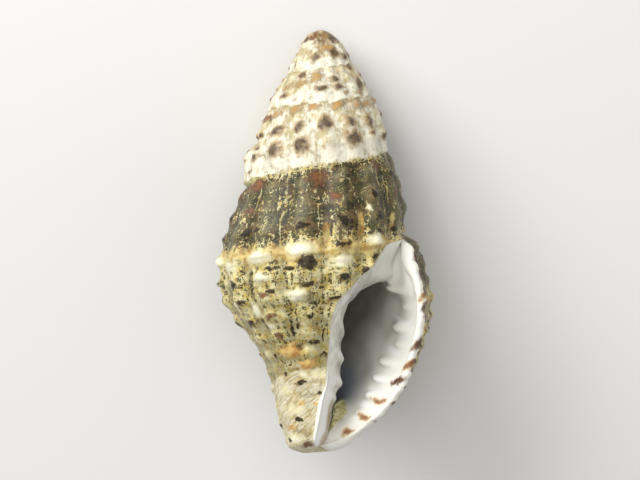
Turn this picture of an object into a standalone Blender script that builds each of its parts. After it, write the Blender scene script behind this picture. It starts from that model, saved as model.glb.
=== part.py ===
"""Spindle-shaped whelk shell lying on its back with its opening up: one closed solid.

The shell is one wall wound round an axis. Its outside is a strip that winds down from the
apex, each turn hung on the seam (the suture) of the turn above, and its last turn runs on
down to the tip of the open canal. Its inside is a bore that starts at the lip and winds
back behind the pillar. Metres, +Z up, apex towards +Y.
"""
import math

import bmesh
import bpy
import numpy as np
from mathutils import Matrix

# The driving dimension: the shell's length in millimetres. Every other size is in units of
# which the length is LENGTH_UNITS, so the whole shell follows it.
LENGTH = 35.0
LENGTH_UNITS = 32.0

# Turns are counted back from the lip, which is turn 0.
TIP_DEPTH = 31.4        # from the apex down to where the canal ends
FIRST_TURN = -5.0
SEAM_ANGLE = 14.0       # degrees from +X to the place where lip and seam meet
LIP_SHARE = 0.2844      # share of the last turn's height that lies above the lip's corner

# The seam: turn, depth below the apex, radius
SEAM = [
    (-5.0, 0.00, 0.00), (-4.75, 0.06, 0.56), (-4.5, 0.28, 0.98), (-4.0, 0.95, 1.50), (-3.5, 1.68, 1.96),
    (-3.0, 2.53, 2.42), (-2.5, 3.60, 2.92), (-2.0, 5.00, 3.70), (-1.5, 6.35, 4.20),
    (-1.0, 9.35, 5.20), (-0.5, 12.05, 5.67), (0.0, 15.62, 6.30),
]
# The last turn from its seam (0) to the tip (1): share of height, then its radius where it
# begins, half a turn on, and at the lip
PROFILE = [
    (0.00, 5.20, 5.65, 6.30), (0.05, 5.55, 6.08, 7.35), (0.10, 5.92, 6.40, 7.66),
    (0.20, 6.34, 7.13, 8.07), (0.30, 6.35, 7.55, 8.45), (0.40, 6.10, 7.40, 8.42),
    (0.50, 5.40, 6.57, 8.04), (0.60, 4.30, 5.25, 7.50), (0.70, 3.20, 4.20, 6.72),
    (0.80, 2.60, 3.70, 5.60), (0.90, 2.20, 3.28, 3.92), (0.95, 1.80, 2.83, 2.72),
    (0.97, 1.50, 2.42, 1.96), (0.985, 0.90, 1.36, 1.13), (1.00, 0.00, 0.00, 0.00),
]
LEFT_TURN = -0.54
TIP_LOBE = [(0.0, 0.0), (0.90, 0.0), (0.95, 0.30), (0.97, 0.75), (0.985, 0.83), (1.0, 0.0)]
# How much of that lobe there is: turn, share
LOBE_ROUND = [(-1.0, 0.2), (-0.78, 0.3), (-0.54, 1.0), (-0.3, 0.9), (0.0, 0.65)]
APEX_DOME = 0.9         # how round the first turn's top is: 0 makes a plain cone
# The lip's edge: share of height, degrees from +X
LIP_LINE = [
    (0.00, 14.0), (0.04, 20.0), (0.10, 23.0), (0.85, 23.0), (0.90, 18.0), (0.95, 8.0),
    (0.98, -15.0), (1.00, -58.0),
]
# The inner lip's edge: way along it from the lip's corner, share of height, degrees from +X
INNER_LINE = [
    (0.00, 0.2844, 14.0), (0.07, 0.290, 27.0), (0.14, 0.302, 39.0), (0.21, 0.339, 48.5),
    (0.28, 0.382, 57.5), (0.35, 0.431, 67.6), (0.42, 0.481, 77.0), (0.50, 0.545, 80.5),
    (0.70, 0.760, 80.0), (0.79, 0.836, 87.0), (0.87, 0.907, 92.0), (0.95, 0.970, 100.0),
    (1.00, 1.000, 105.0),
]
# Rows of the last turn below the lip's corner: way down, share of height
ROW_LINE = [(0.0, 0.2844), (0.75, 0.90), (0.90, 0.97), (1.0, 1.0)]
# The pillar and the wall above it, in the bore: share of the bore's height, radius
PILLAR = [
    (0.00, 4.60), (0.08, 3.77), (0.142, 2.80), (0.197, 2.19), (0.257, 1.74), (0.37, 1.60),
    (0.59, 1.60), (0.665, 1.50), (0.75, 1.13), (0.84, 0.78), (0.92, 0.60), (0.97, 0.38),
    (1.00, 0.00),
]
DEEP_PILLAR = 1.5
# How far the bore's top lies below the seam: turns in from the lip, drop. The pad of the
# lip's corner fills the space above.
BORE_DROP = [(0.0, 0.0), (0.05, 2.5), (0.12, 2.5), (0.35, 1.1), (1.0, 1.0)]
# Thickness of the outer wall: turns in from the lip, thickness
WALL = [(0.0, 0.60), (0.02, 0.95), (0.04, 1.15), (0.07, 1.15), (0.12, 1.05), (0.2, 0.95), (1.0, 0.95)]
# The bottom of the bore: turns in from the lip, depth below the apex
BORE_FLOOR = [
    (0.0, 31.4), (0.1, 31.2), (0.2, 30.9), (0.3, 30.0), (0.4, 28.5), (0.5, 26.8), (0.75, 24.9),
]
BORE_END = 0.52         # turns in from the lip to where the bore closes
BORE_ENDS = (0.07, 0.10) # shares of the bore's height over which its top and bottom round off
THIN_BORE = 0.05        # the least width of the bore
FACE_TURN = 0.078       # turns from the lip to where the inner lip's face joins the pillar

# Sculpture: ribs run down the shell, cords run round it, and a bead stands where they cross
RIB_AT = -0.757         # a rib's turn on the last turn
RIBS_LAST = 14.1        # ribs a turn below RIB_CHANGE, and above it
RIBS_SPIRE = 15.3
RIB_CHANGE = -1.2
RIB_HEIGHT = 0.15
RIB_FOOT = (0.66, 0.25) # share of height where ribs end, and over which they die out
FULL_SIZE = 5.4         # the seam radius from which the sculpture has its full height
VALLEY = 0.10           # how far the valleys lie inside the plain turn
# Each cord: share of height where the last turn begins, share at the lip, half width, height
CORDS = [
    (0.035, 0.055, 0.020, 0.18), (0.115, 0.140, 0.024, 0.24), (0.195, 0.220, 0.024, 0.26),
    (0.285, 0.300, 0.024, 0.30), (0.370, 0.382, 0.022, 0.26), (0.448, 0.455, 0.020, 0.24),
    (0.520, 0.525, 0.020, 0.24), (0.590, 0.592, 0.019, 0.22), (0.655, 0.655, 0.018, 0.20),
    (0.720, 0.720, 0.018, 0.18), (0.785, 0.785, 0.018, 0.17), (0.850, 0.850, 0.017, 0.15),
    (0.910, 0.910, 0.015, 0.10),
]
# One rib of the back stands higher, and the shell lies on it and its neighbour: turn, share
# of height, extra height, width in turns, width as a share
PROUD_RIB = (-0.33, 0.30, 0.26, 0.022, 0.12)
SPIRE_BULGE = 0.065     # how far a spire turn swells, as a share of its height
# The spire leans a little towards the lip's side: depth, shift
LEAN = [(0.0, 0.15), (6.5, 0.17), (9.5, 0.0), (31.4, 0.0)]
VARIX_TURN = -1.50      # an old lip, left as a swelling on the turn above the last
VARIX_HEIGHT = 0.28
VARIX_WIDTH = 0.03      # turns
VARIX_TOP = 0.3         # share of the visible band above it
SPIRE_BLEND = 0.15      # turns over which the spire's shape passes into the last turn's

# How it lies: turned about its own axis, then tipped apex down, in degrees
ROLL = 1.67
PITCH = -16.47
# The middle of the axis, set over the lowest point so that the box's base is on Z = 0
PLACE = (-0.36, 0.07, 7.07)
MID_DEPTH = 16.0

# Mesh steps
TURN_STEPS = 56
SPIRE_ROWS = 6
LAST_ROWS = 20
RIM_RINGS = 3
BORE_RINGS = 15


def smooth(at, knots):
    """A curve through the knots that never overshoots them: cubic pieces, harmonic slopes."""
    table = np.asarray(knots, float)
    xs = table[:, 0]
    ys = table[:, 1:]
    rise = np.diff(ys, axis=0) / np.diff(xs)[:, None]
    slope = np.zeros_like(ys)
    before = rise[:-1]
    after = rise[1:]
    turning = before * after <= 0.0
    safe = np.where(turning, 1.0, before + after)
    slope[1:-1] = np.where(turning, 0.0, 2.0 * before * after / safe)
    slope[0] = rise[0]
    slope[-1] = rise[-1]
    x = np.clip(np.asarray(at, float), xs[0], xs[-1])
    i = np.clip(np.searchsorted(xs, x, side="right") - 1, 0, len(xs) - 2)
    step = (xs[i + 1] - xs[i])[..., None]
    u = (x - xs[i])[..., None] / step
    value = ys[i] * (1 + 2 * u) * (1 - u) ** 2 + ys[i + 1] * u * u * (3 - 2 * u)
    value = value + step * (slope[i] * u * (1 - u) ** 2 - slope[i + 1] * u * u * (1 - u))
    return value[..., 0] if ys.shape[1] == 1 else value


def ease(x):
    """0 to 1 with flat ends."""
    x = np.clip(x, 0.0, 1.0)
    return x * x * (3.0 - 2.0 * x)


def seam(turn):
    """Depth and radius of the seam."""
    found = smooth(turn, SEAM)
    return found[..., 0], found[..., 1]


def angle(turn):
    return math.radians(SEAM_ANGLE) + 2.0 * math.pi * turn


def rib(turn):
    """1 on a rib's crest, 0 midway between two."""
    spire = np.minimum(turn - RIB_CHANGE, 0.0) * RIBS_SPIRE
    last = (np.maximum(turn, RIB_CHANGE) - RIB_AT) * RIBS_LAST
    return (0.5 + 0.5 * np.cos(2.0 * math.pi * (spire + last))) ** 1.2


def sculpture(turn, share):
    """How far ribs, cords and beads stand out. share counts down the last turn; on the spire
    the visible band is its top part, from 0 to LIP_SHARE."""
    ribs = rib(turn)
    late = np.clip(turn + 1.0, 0.0, 1.0)
    foot, fading = RIB_FOOT
    out = RIB_HEIGHT * ribs * ease(share / 0.03) * ease((foot - share) / fading)
    for start, lip, width, height in CORDS:
        crest = start + (lip - start) * late
        out = out + height * np.exp(-((share - crest) / width) ** 2) * (0.4 + 0.6 * ribs)
    proud_turn, proud_share, proud_height, wide, tall = PROUD_RIB
    across = ((turn - proud_turn) / wide) ** 2 + ((share - proud_share) / tall) ** 2
    out = out + proud_height * np.exp(-across)
    size = np.clip(seam(turn)[1] / FULL_SIZE, 0.0, 1.0)
    return (out - VALLEY) * size * ease(share / 0.02) * ease((0.97 - share) / 0.04)


def last_turn(turn, share):
    """Radius and depth of the last turn without its sculpture."""
    p = smooth(share, PROFILE)
    early = (turn + 1.0) / (LEFT_TURN + 1.0)
    late = (turn - LEFT_TURN) / (0.0 - LEFT_TURN)
    first = p[..., 0] + (p[..., 1] - p[..., 0]) * (1.0 - (1.0 - np.clip(early, 0, 1)) ** 1.3)
    radius = first + (p[..., 2] - p[..., 1]) * np.clip(late, 0.0, 1.2) ** 1.15
    top, ring = seam(turn)
    drawn = smooth(turn, [(-1.0, PROFILE[0][1]), (LEFT_TURN, PROFILE[0][2]), (0.0, PROFILE[0][3])])
    radius = radius + (ring - drawn) * ease((0.1 - share) / 0.1)
    lobe = smooth(share, TIP_LOBE) * smooth(turn, LOBE_ROUND)
    return radius, top + share * (TIP_DEPTH - top) + lobe


def spire_turn(turn, share):
    """Radius and depth of a turn of the spire without its sculpture."""
    down = share / LIP_SHARE
    top, above = seam(turn)
    foot, below = seam(turn + 1.0)
    swell = SPIRE_BULGE * (foot - top) * 4.0 * down * (1.0 - down)
    varix = VARIX_HEIGHT * np.exp(-((turn - VARIX_TURN) / VARIX_WIDTH) ** 2) * np.sin(
        math.pi * np.clip((down - VARIX_TOP) / (1.05 - VARIX_TOP), 0.0, 1.0))
    dome = 1.0 + APEX_DOME * (1.0 - ease((turn - FIRST_TURN + 1.0) / 2.2))
    return above + (below - above) * down + swell + varix, top + down ** dome * (foot - top)


def outside(turn, share, bare=False):
    """Points of the outside, in the shell's own axes: +X right, +Y to the apex, +Z front."""
    turn, share = np.broadcast_arrays(np.asarray(turn, float), np.asarray(share, float))
    radius, depth = last_turn(np.maximum(turn, -1.0), share)
    spire_radius, spire_depth = spire_turn(np.minimum(turn, -1.0), np.minimum(share, LIP_SHARE))
    blend = ease((turn + 1.0 + SPIRE_BLEND) / SPIRE_BLEND)
    spire_radius = spire_radius + (radius - spire_radius) * blend
    radius = np.where(turn < -1.0, spire_radius, radius)
    depth = np.where(turn < -1.0, spire_depth, depth)
    if not bare:
        radius = radius + sculpture(turn, share)
    return around(radius, depth, angle(turn))


def around(radius, depth, phi):
    """A point at a radius and a depth, phi radians round from +X towards the front."""
    x = radius * np.cos(phi) + smooth(depth, LEAN)
    return np.stack([x, MID_DEPTH - depth, radius * np.sin(phi)], axis=-1)


def round_ends(share, first, last):
    """1 in the middle, closing like a quarter circle over first and last at the two ends."""
    near = np.clip(share / first, 0.0, 1.0)
    far = np.clip((1.0 - share) / last, 0.0, 1.0)
    return np.sqrt(1.0 - (1.0 - near) ** 2) * np.sqrt(1.0 - (1.0 - far) ** 2)


def bore_span(back):
    """Depths of the bore's top and bottom, back turns in from the lip."""
    return seam(-back)[0] + smooth(back, BORE_DROP), smooth(back, BORE_FLOOR)


def pillar_radius(back, share):
    """Radius of the bore's inner wall: the turn above near its top, the pillar below."""
    radius = smooth(share, PILLAR)
    ring = seam(-back)[1] / seam(0.0)[1]
    radius = radius * (1.0 + (ring - 1.0) * np.clip(1.0 - share / 0.35, 0.0, 1.0))
    corner = (seam(0.0)[1] - radius) * np.clip(1.0 - share / 0.15, 0.0, 1.0) ** 2
    radius = radius + corner * (1.0 - ease(back / 0.05))
    deep = np.where(share > 0.5, np.maximum(radius, DEEP_PILLAR), radius)
    return radius + (deep - radius) * ease((back - 0.02) / 0.25)


def lip_turn(share):
    return (smooth(share, LIP_LINE) - SEAM_ANGLE) / 360.0


def inner_line(way):
    """Turn and share of height along the inner lip's edge."""
    found = smooth(way, INNER_LINE)
    return (found[..., 1] - SEAM_ANGLE) / 360.0 - 1.0, found[..., 0]


def bore_wall(back, share, outer):
    """Points of the bore back turns in from the lip: its outer wall, or its inner one."""
    top, floor = bore_span(back)
    depth = top + share * (floor - top)
    turn = lip_turn(share) - back
    inner_radius = pillar_radius(back, share)
    if not outer:
        return around(inner_radius, depth, angle(turn))
    seam_depth = seam(-back)[0]
    shell_share = np.clip((depth - seam_depth) / (TIP_DEPTH - seam_depth), 0.0, 1.0)
    shell_radius = last_turn(np.maximum(turn, -1.0), shell_share)[0]
    gap = np.maximum(shell_radius - smooth(back, WALL) - inner_radius, THIN_BORE)
    return around(inner_radius + gap * round_ends(share, *BORE_ENDS), depth, angle(turn))


def inner_face(way, part):
    """From the inner lip's edge (part 0) over its face to the pillar (part 1): it leaves along
    the outside surface and ends running back along the pillar."""
    start_turn, share = inner_line(way)
    start = outside(start_turn, share)
    down = bore_share(way)
    end = bore_wall(np.full_like(down, FACE_TURN), down, False)
    reach = np.linalg.norm(end - start, axis=-1, keepdims=True) * 1.15
    leave = angle(start_turn)
    arrive = angle(lip_turn(down) - FACE_TURN)
    flat = np.zeros_like(leave)
    leave = np.stack([np.sin(leave), flat, -np.cos(leave)], axis=-1) * reach
    arrive = np.stack([np.sin(arrive), flat, -np.cos(arrive)], axis=-1) * reach
    u = part[..., None]
    here = start * (1 + 2 * u) * (1 - u) ** 2 + end * u * u * (3 - 2 * u)
    return here + leave * u * (1 - u) ** 2 - arrive * u * u * (1 - u)


def bore_share(way):
    """Share of the bore's height at a place on the inner lip's edge."""
    turn, share = inner_line(way)
    top, ring = seam(turn)
    depth = top + share * (TIP_DEPTH - top)
    corner = seam(0.0)[0]
    return np.clip((depth - corner) / (TIP_DEPTH - corner), 0.0, 1.0)


def shares():
    """Share of height of each row: SPIRE_ROWS down to the lip's corner, then LAST_ROWS."""
    upper = np.linspace(0.0, LIP_SHARE, SPIRE_ROWS + 1)
    lower = smooth(np.linspace(0.0, 1.0, LAST_ROWS + 1)[1:], ROW_LINE)
    return np.concatenate([upper, lower])


def outside_grid():
    """One point for each step of the winding and each row. Near its start the last turn's
    grid bends to follow the inner lip's edge, and the bend dies out along the turn."""
    rows = shares()
    spire = np.linspace(FIRST_TURN - 1.0, -1.0, TURN_STEPS * int(-FIRST_TURN) + 1)[:-1]
    spire_points = outside(spire[:, None], rows[None, :])
    edge_turn, edge_share = inner_line(np.linspace(0.0, 1.0, LAST_ROWS + 1))
    below = slice(SPIRE_ROWS, None)
    along = np.linspace(0.0, 1.0, TURN_STEPS + 1)[:, None]
    fade = (1.0 - along) ** 3
    turns = -1.0 + along * (1.0 + lip_turn(rows))
    turns[:, below] += (edge_turn + 1.0) * fade
    places = np.repeat(rows[None, :], TURN_STEPS + 1, axis=0)
    places[:, below] += (edge_share - rows[below]) * (1.0 - along) ** 2
    return np.concatenate([spire_points, outside(turns, places)])


def bore_rings():
    """Closed rings of the bore: down the lip from its corner to the tip, back up the inner
    lip. Ring 0 is the lip's edge itself."""
    down = shares()
    up = np.linspace(1.0, 0.0, LAST_ROWS + 1)[1:-1]
    backs = BORE_END * (np.arange(BORE_RINGS + 1) / BORE_RINGS) ** 1.25
    face_backs = backs[backs < FACE_TURN]
    rings = []
    edge = outside(lip_turn(down), down)
    inside = bore_wall(np.zeros_like(down), down, True)
    ahead = outside(lip_turn(down) + 0.002, down, True) - outside(lip_turn(down), down, True)
    ahead = ahead / np.maximum(np.linalg.norm(ahead, axis=-1, keepdims=True), 1e-9)
    half = (edge - inside) / 2.0
    size = np.linalg.norm(half, axis=-1, keepdims=True)
    face_steps = RIM_RINGS + len(face_backs)
    for ring in range(1, RIM_RINGS + BORE_RINGS + 1):
        if ring < RIM_RINGS:
            bend = math.pi * ring / RIM_RINGS
            outer = (edge + inside) / 2.0 + half * math.cos(bend) + ahead * size * math.sin(bend)
            back = 0.0
        else:
            back = backs[ring - RIM_RINGS]
            outer = bore_wall(np.full_like(down, back), down, True)
        if back < FACE_TURN:
            even = min(ring / face_steps, 1.0)
            middle = ease(bore_share(up) / 0.10) * ease((1.0 - bore_share(up)) / 0.10)
            part = back / FACE_TURN + (even - back / FACE_TURN) * middle
            inner = inner_face(up, part)
        else:
            inner = bore_wall(np.full_like(up, back), bore_share(up), False)
        rings.append(np.concatenate([outer, inner]))
    last = rings[-1]
    centre = last.mean(axis=0)
    return rings, centre


def build_shell():
    grid = outside_grid()
    columns, rows = grid.shape[:2]
    mesh = bmesh.new()
    apex = mesh.verts.new(grid[0, 0])
    tip = mesh.verts.new(grid[-1, -1])
    verts = {}

    def vertex(i, k):
        """The winding's vertex at column i, row k; a spire turn's foot is the next one's top."""
        if i < TURN_STEPS * int(-FIRST_TURN) + 1 and k == SPIRE_ROWS:
            i += TURN_STEPS
            k = 0
        if k == rows - 1:
            return tip
        if i <= TURN_STEPS and k == 0 or i == 0:
            return apex
        if (i, k) not in verts:
            verts[i, k] = mesh.verts.new(grid[i, k])
        return verts[i, k]

    def patch(corners):
        """A face, or nothing where its corners run together."""
        ring = []
        for corner in corners:
            if corner not in ring:
                ring.append(corner)
        if len(ring) > 2:
            mesh.faces.new(ring)

    for i in range(columns - 1):
        count = SPIRE_ROWS if i < columns - 1 - TURN_STEPS else rows - 1
        for k in range(count):
            patch([vertex(i, k), vertex(i + 1, k), vertex(i + 1, k + 1), vertex(i, k + 1)])

    start = columns - 1 - TURN_STEPS
    loop = [vertex(columns - 1, k) for k in range(rows)]
    loop += [vertex(start, k) for k in range(rows - 2, SPIRE_ROWS, -1)]
    rings, centre = bore_rings()
    for ring in rings:
        following = [mesh.verts.new(point) for point in ring]
        if np.allclose(ring[0], grid[-1, 0], atol=1e-6):
            mesh.verts.remove(following[0])
            following[0] = loop[0]
        if np.allclose(ring[rows - 1], grid[-1, -1], atol=1e-6):
            mesh.verts.remove(following[rows - 1])
            following[rows - 1] = tip
        for s in range(len(loop)):
            n = (s + 1) % len(loop)
            patch([loop[s], following[s], following[n], loop[n]])
        loop = following
    end = mesh.verts.new(centre)
    for s in range(len(loop)):
        mesh.faces.new([loop[s], end, loop[(s + 1) % len(loop)]])
    return mesh


def lay_down(mesh):
    """Turn and tip the shell as it lies, and bring it from units to metres."""
    turned = Matrix.Rotation(math.radians(PITCH), 4, "X") @ Matrix.Rotation(math.radians(ROLL), 4, "Y")
    placed = Matrix.Translation(PLACE) @ turned
    metres = 0.001 * LENGTH / LENGTH_UNITS
    mesh.transform(Matrix.Scale(metres, 4) @ placed)


def shell_material():
    material = bpy.data.materials.new("shell")
    material.use_nodes = True
    shader = material.node_tree.nodes["Principled BSDF"]
    shader.inputs["Base Color"].default_value = (0.42, 0.37, 0.24, 1.0)
    shader.inputs["Roughness"].default_value = 0.55
    shader.inputs["Metallic"].default_value = 0.0
    return material


def main():
    for thing in list(bpy.data.objects):
        bpy.data.objects.remove(thing)
    mesh = build_shell()
    lay_down(mesh)
    data = bpy.data.meshes.new("shell")
    mesh.to_mesh(data)
    mesh.free()
    data.materials.append(shell_material())
    shell = bpy.data.objects.new("shell", data)
    bpy.context.scene.collection.objects.link(shell)
    data.shade_smooth()


main()
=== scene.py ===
import math

import bpy
import numpy as np
from mathutils import Matrix, Vector


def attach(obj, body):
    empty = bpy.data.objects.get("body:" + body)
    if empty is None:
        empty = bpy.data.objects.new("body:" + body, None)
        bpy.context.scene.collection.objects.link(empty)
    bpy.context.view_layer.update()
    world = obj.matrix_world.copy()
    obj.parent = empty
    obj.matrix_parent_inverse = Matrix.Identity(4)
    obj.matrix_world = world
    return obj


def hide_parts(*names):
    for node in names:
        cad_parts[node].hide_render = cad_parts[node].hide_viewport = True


# A small spindle-shaped whelk shell lying on its back. Its outside is a strip wound down from
# the apex, its inside a bore wound back from the lip. Sizes are in units of which the shell is
# 32 long; toMetres turns them into metres. The shell's own axes are +X towards the outer lip,
# +Y towards the apex and +Z out of the opening. Turns are counted back from the lip, turn 0.

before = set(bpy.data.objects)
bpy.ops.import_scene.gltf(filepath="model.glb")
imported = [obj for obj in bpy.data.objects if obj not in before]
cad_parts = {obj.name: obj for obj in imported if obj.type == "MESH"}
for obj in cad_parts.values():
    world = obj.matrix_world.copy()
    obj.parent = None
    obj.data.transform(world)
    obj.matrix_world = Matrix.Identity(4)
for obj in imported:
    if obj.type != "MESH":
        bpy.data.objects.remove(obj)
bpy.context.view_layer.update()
print("frame loaded")

placing = {
    "length": 35.0,             # mm
    "units": 32.0,              # the same length in units
    "roll": 1.67,               # degrees about the shell's own axis
    "pitch": -16.47,            # degrees, apex down
    "place": (-0.36, 0.07, 7.07),
    "midDepth": 16.0,           # how far below the apex the shell's own origin lies
}

turning = (Matrix.Rotation(math.radians(placing["pitch"]), 4, "X")
           @ Matrix.Rotation(math.radians(placing["roll"]), 4, "Y"))
unit = 0.001 * placing["length"] / placing["units"]


# Points in units, each turned as the shell lies, moved to its place and brought to metres
def toMetres(points):
    turn3 = np.array(turning.to_3x3())
    return (points @ turn3.T + np.array(placing["place"])) * unit


# The shell's build. Depth is below the apex; share is the share of the last turn's height,
# 0 at its seam and 1 at the canal's tip.
shellForm = {
    "tipDepth": 31.4,
    "firstTurn": -5,
    "seamAngle": 14.0,          # degrees from +X to where the lip meets the seam
    "lipShare": 0.2844,
    # turn, depth, radius
    "seam": [
        (-5.0, 0.00, 0.00), (-4.75, 0.06, 0.56), (-4.5, 0.28, 0.98), (-4.0, 0.95, 1.50),
        (-3.5, 1.68, 1.96), (-3.0, 2.53, 2.42), (-2.5, 3.60, 2.92), (-2.0, 5.00, 3.70),
        (-1.5, 6.35, 4.20), (-1.0, 9.35, 5.20), (-0.5, 12.05, 5.67), (0.0, 15.62, 6.30),
    ],
    # share, radius where the last turn begins, half a turn on, at the lip
    "profile": [
        (0.00, 5.20, 5.65, 6.30), (0.05, 5.55, 6.08, 7.35), (0.10, 5.92, 6.40, 7.66),
        (0.20, 6.34, 7.13, 8.07), (0.30, 6.35, 7.55, 8.45), (0.40, 6.10, 7.40, 8.42),
        (0.50, 5.40, 6.57, 8.04), (0.60, 4.30, 5.25, 7.50), (0.70, 3.20, 4.20, 6.72),
        (0.80, 2.60, 3.70, 5.60), (0.90, 2.20, 3.28, 3.92), (0.95, 1.80, 2.83, 2.72),
        (0.97, 1.50, 2.42, 1.96), (0.985, 0.90, 1.36, 1.13), (1.00, 0.00, 0.00, 0.00),
    ],
    "leftTurn": -0.54,          # the turn of the profile's middle column
    # share, how far the canal's tip bulges down; turn, how much of that there is
    "tipLobe": [(0.0, 0.0), (0.90, 0.0), (0.95, 0.30), (0.97, 0.75), (0.985, 0.83), (1.0, 0.0)],
    "lobeRound": [(-1.0, 0.2), (-0.78, 0.3), (-0.54, 1.0), (-0.3, 0.9), (0.0, 0.65)],
    "fillOut": (1.3, 1.15),     # how late the last turn swells, before and after that column
    "apexDome": (0.9, 2.2),     # how domed the apex is, over how many turns
    "spireBulge": 0.065,        # how far a spire turn bulges, beside its height
    "spireBlend": 0.15,         # turns over which the spire passes into the last turn
    # depth, how far the axis lies to the right
    "lean": [(0.0, 0.15), (6.5, 0.17), (9.5, 0.0), (31.4, 0.0)],
    # the old lip at the left: turn, height, width in turns, where down the turn it runs
    "varix": (-1.520, 0.32, 0.045, 0.38, 1.05),
    # the crease in front of it: turn, slant, depth, width in turns, where it starts, how soon
    "varixCrease": (-1.565, -0.13, 0.24, 0.011, 0.36, 0.15),
    # the hollow above it: turn, depth, width in turns, place down the turn, half height
    "varixStep": (-1.525, 0.52, 0.060, 0.39, 0.065),
}


# A curve through the knots (place, value, ...) that never overshoots them: cubic pieces whose
# slope at a knot is the harmonic mean of the slopes on its two sides
def curveThrough(at, knots):
    table = np.asarray(knots, float)
    xs, ys = table[:, 0], table[:, 1:]
    rise = np.diff(ys, axis=0) / np.diff(xs)[:, None]
    before, after = rise[:-1], rise[1:]
    turningBack = before * after <= 0.0
    slope = np.zeros_like(ys)
    slope[1:-1] = np.where(turningBack, 0.0,
                           2.0 * before * after / np.where(turningBack, 1.0, before + after))
    slope[0], slope[-1] = rise[0], rise[-1]
    x = np.clip(np.asarray(at, float), xs[0], xs[-1])
    i = np.clip(np.searchsorted(xs, x, side="right") - 1, 0, len(xs) - 2)
    step = (xs[i + 1] - xs[i])[..., None]
    u = (x - xs[i])[..., None] / step
    value = ys[i] * (1 + 2 * u) * (1 - u) ** 2 + ys[i + 1] * u * u * (3 - 2 * u)
    value = value + step * (slope[i] * u * (1 - u) ** 2 - slope[i + 1] * u * u * (1 - u))
    return value[..., 0] if ys.shape[1] == 1 else value


# 0 to 1 with flat ends: 3x^2 - 2x^3
def ease(x):
    x = np.clip(x, 0.0, 1.0)
    return x * x * (3.0 - 2.0 * x)


# Depth and radius of the seam at a turn
def seamAt(turn):
    found = curveThrough(turn, shellForm["seam"])
    return found[..., 0], found[..., 1]


# Radians from +X towards the front at a turn: the seam's angle plus a full circle a turn
def angleAt(turn):
    return math.radians(shellForm["seamAngle"]) + 2.0 * math.pi * turn


# A point at a radius and a depth, phi round the axis, shifted by the spire's lean
def around(radius, depth, phi):
    x = radius * np.cos(phi) + curveThrough(depth, shellForm["lean"])
    return np.stack([x, placing["midDepth"] - depth, radius * np.sin(phi)], axis=-1)


# A bell over one or two distances: e to the minus of their squares
def bell(first, second=0.0):
    return np.exp(-first ** 2 - second ** 2)


# Smooth lumps between -1 and 1: seeded random values on a cubic lattice of the given size,
# blended between its corners by the ease curve
def lumps(points, size, seed):
    table = np.random.default_rng(seed).uniform(-1.0, 1.0, (23, 29, 31))
    at = np.asarray(points, float) / size
    low = np.floor(at).astype(int)
    part = ease(at - low)
    total = np.zeros(at.shape[:-1])
    for corner in np.ndindex(2, 2, 2):
        weight = np.prod(np.where(np.array(corner) == 1, part, 1.0 - part), axis=-1)
        i, j, k = np.moveaxis(low + np.array(corner), -1, 0)
        total += weight * table[i % 23, j % 29, k % 31]
    return total


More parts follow.
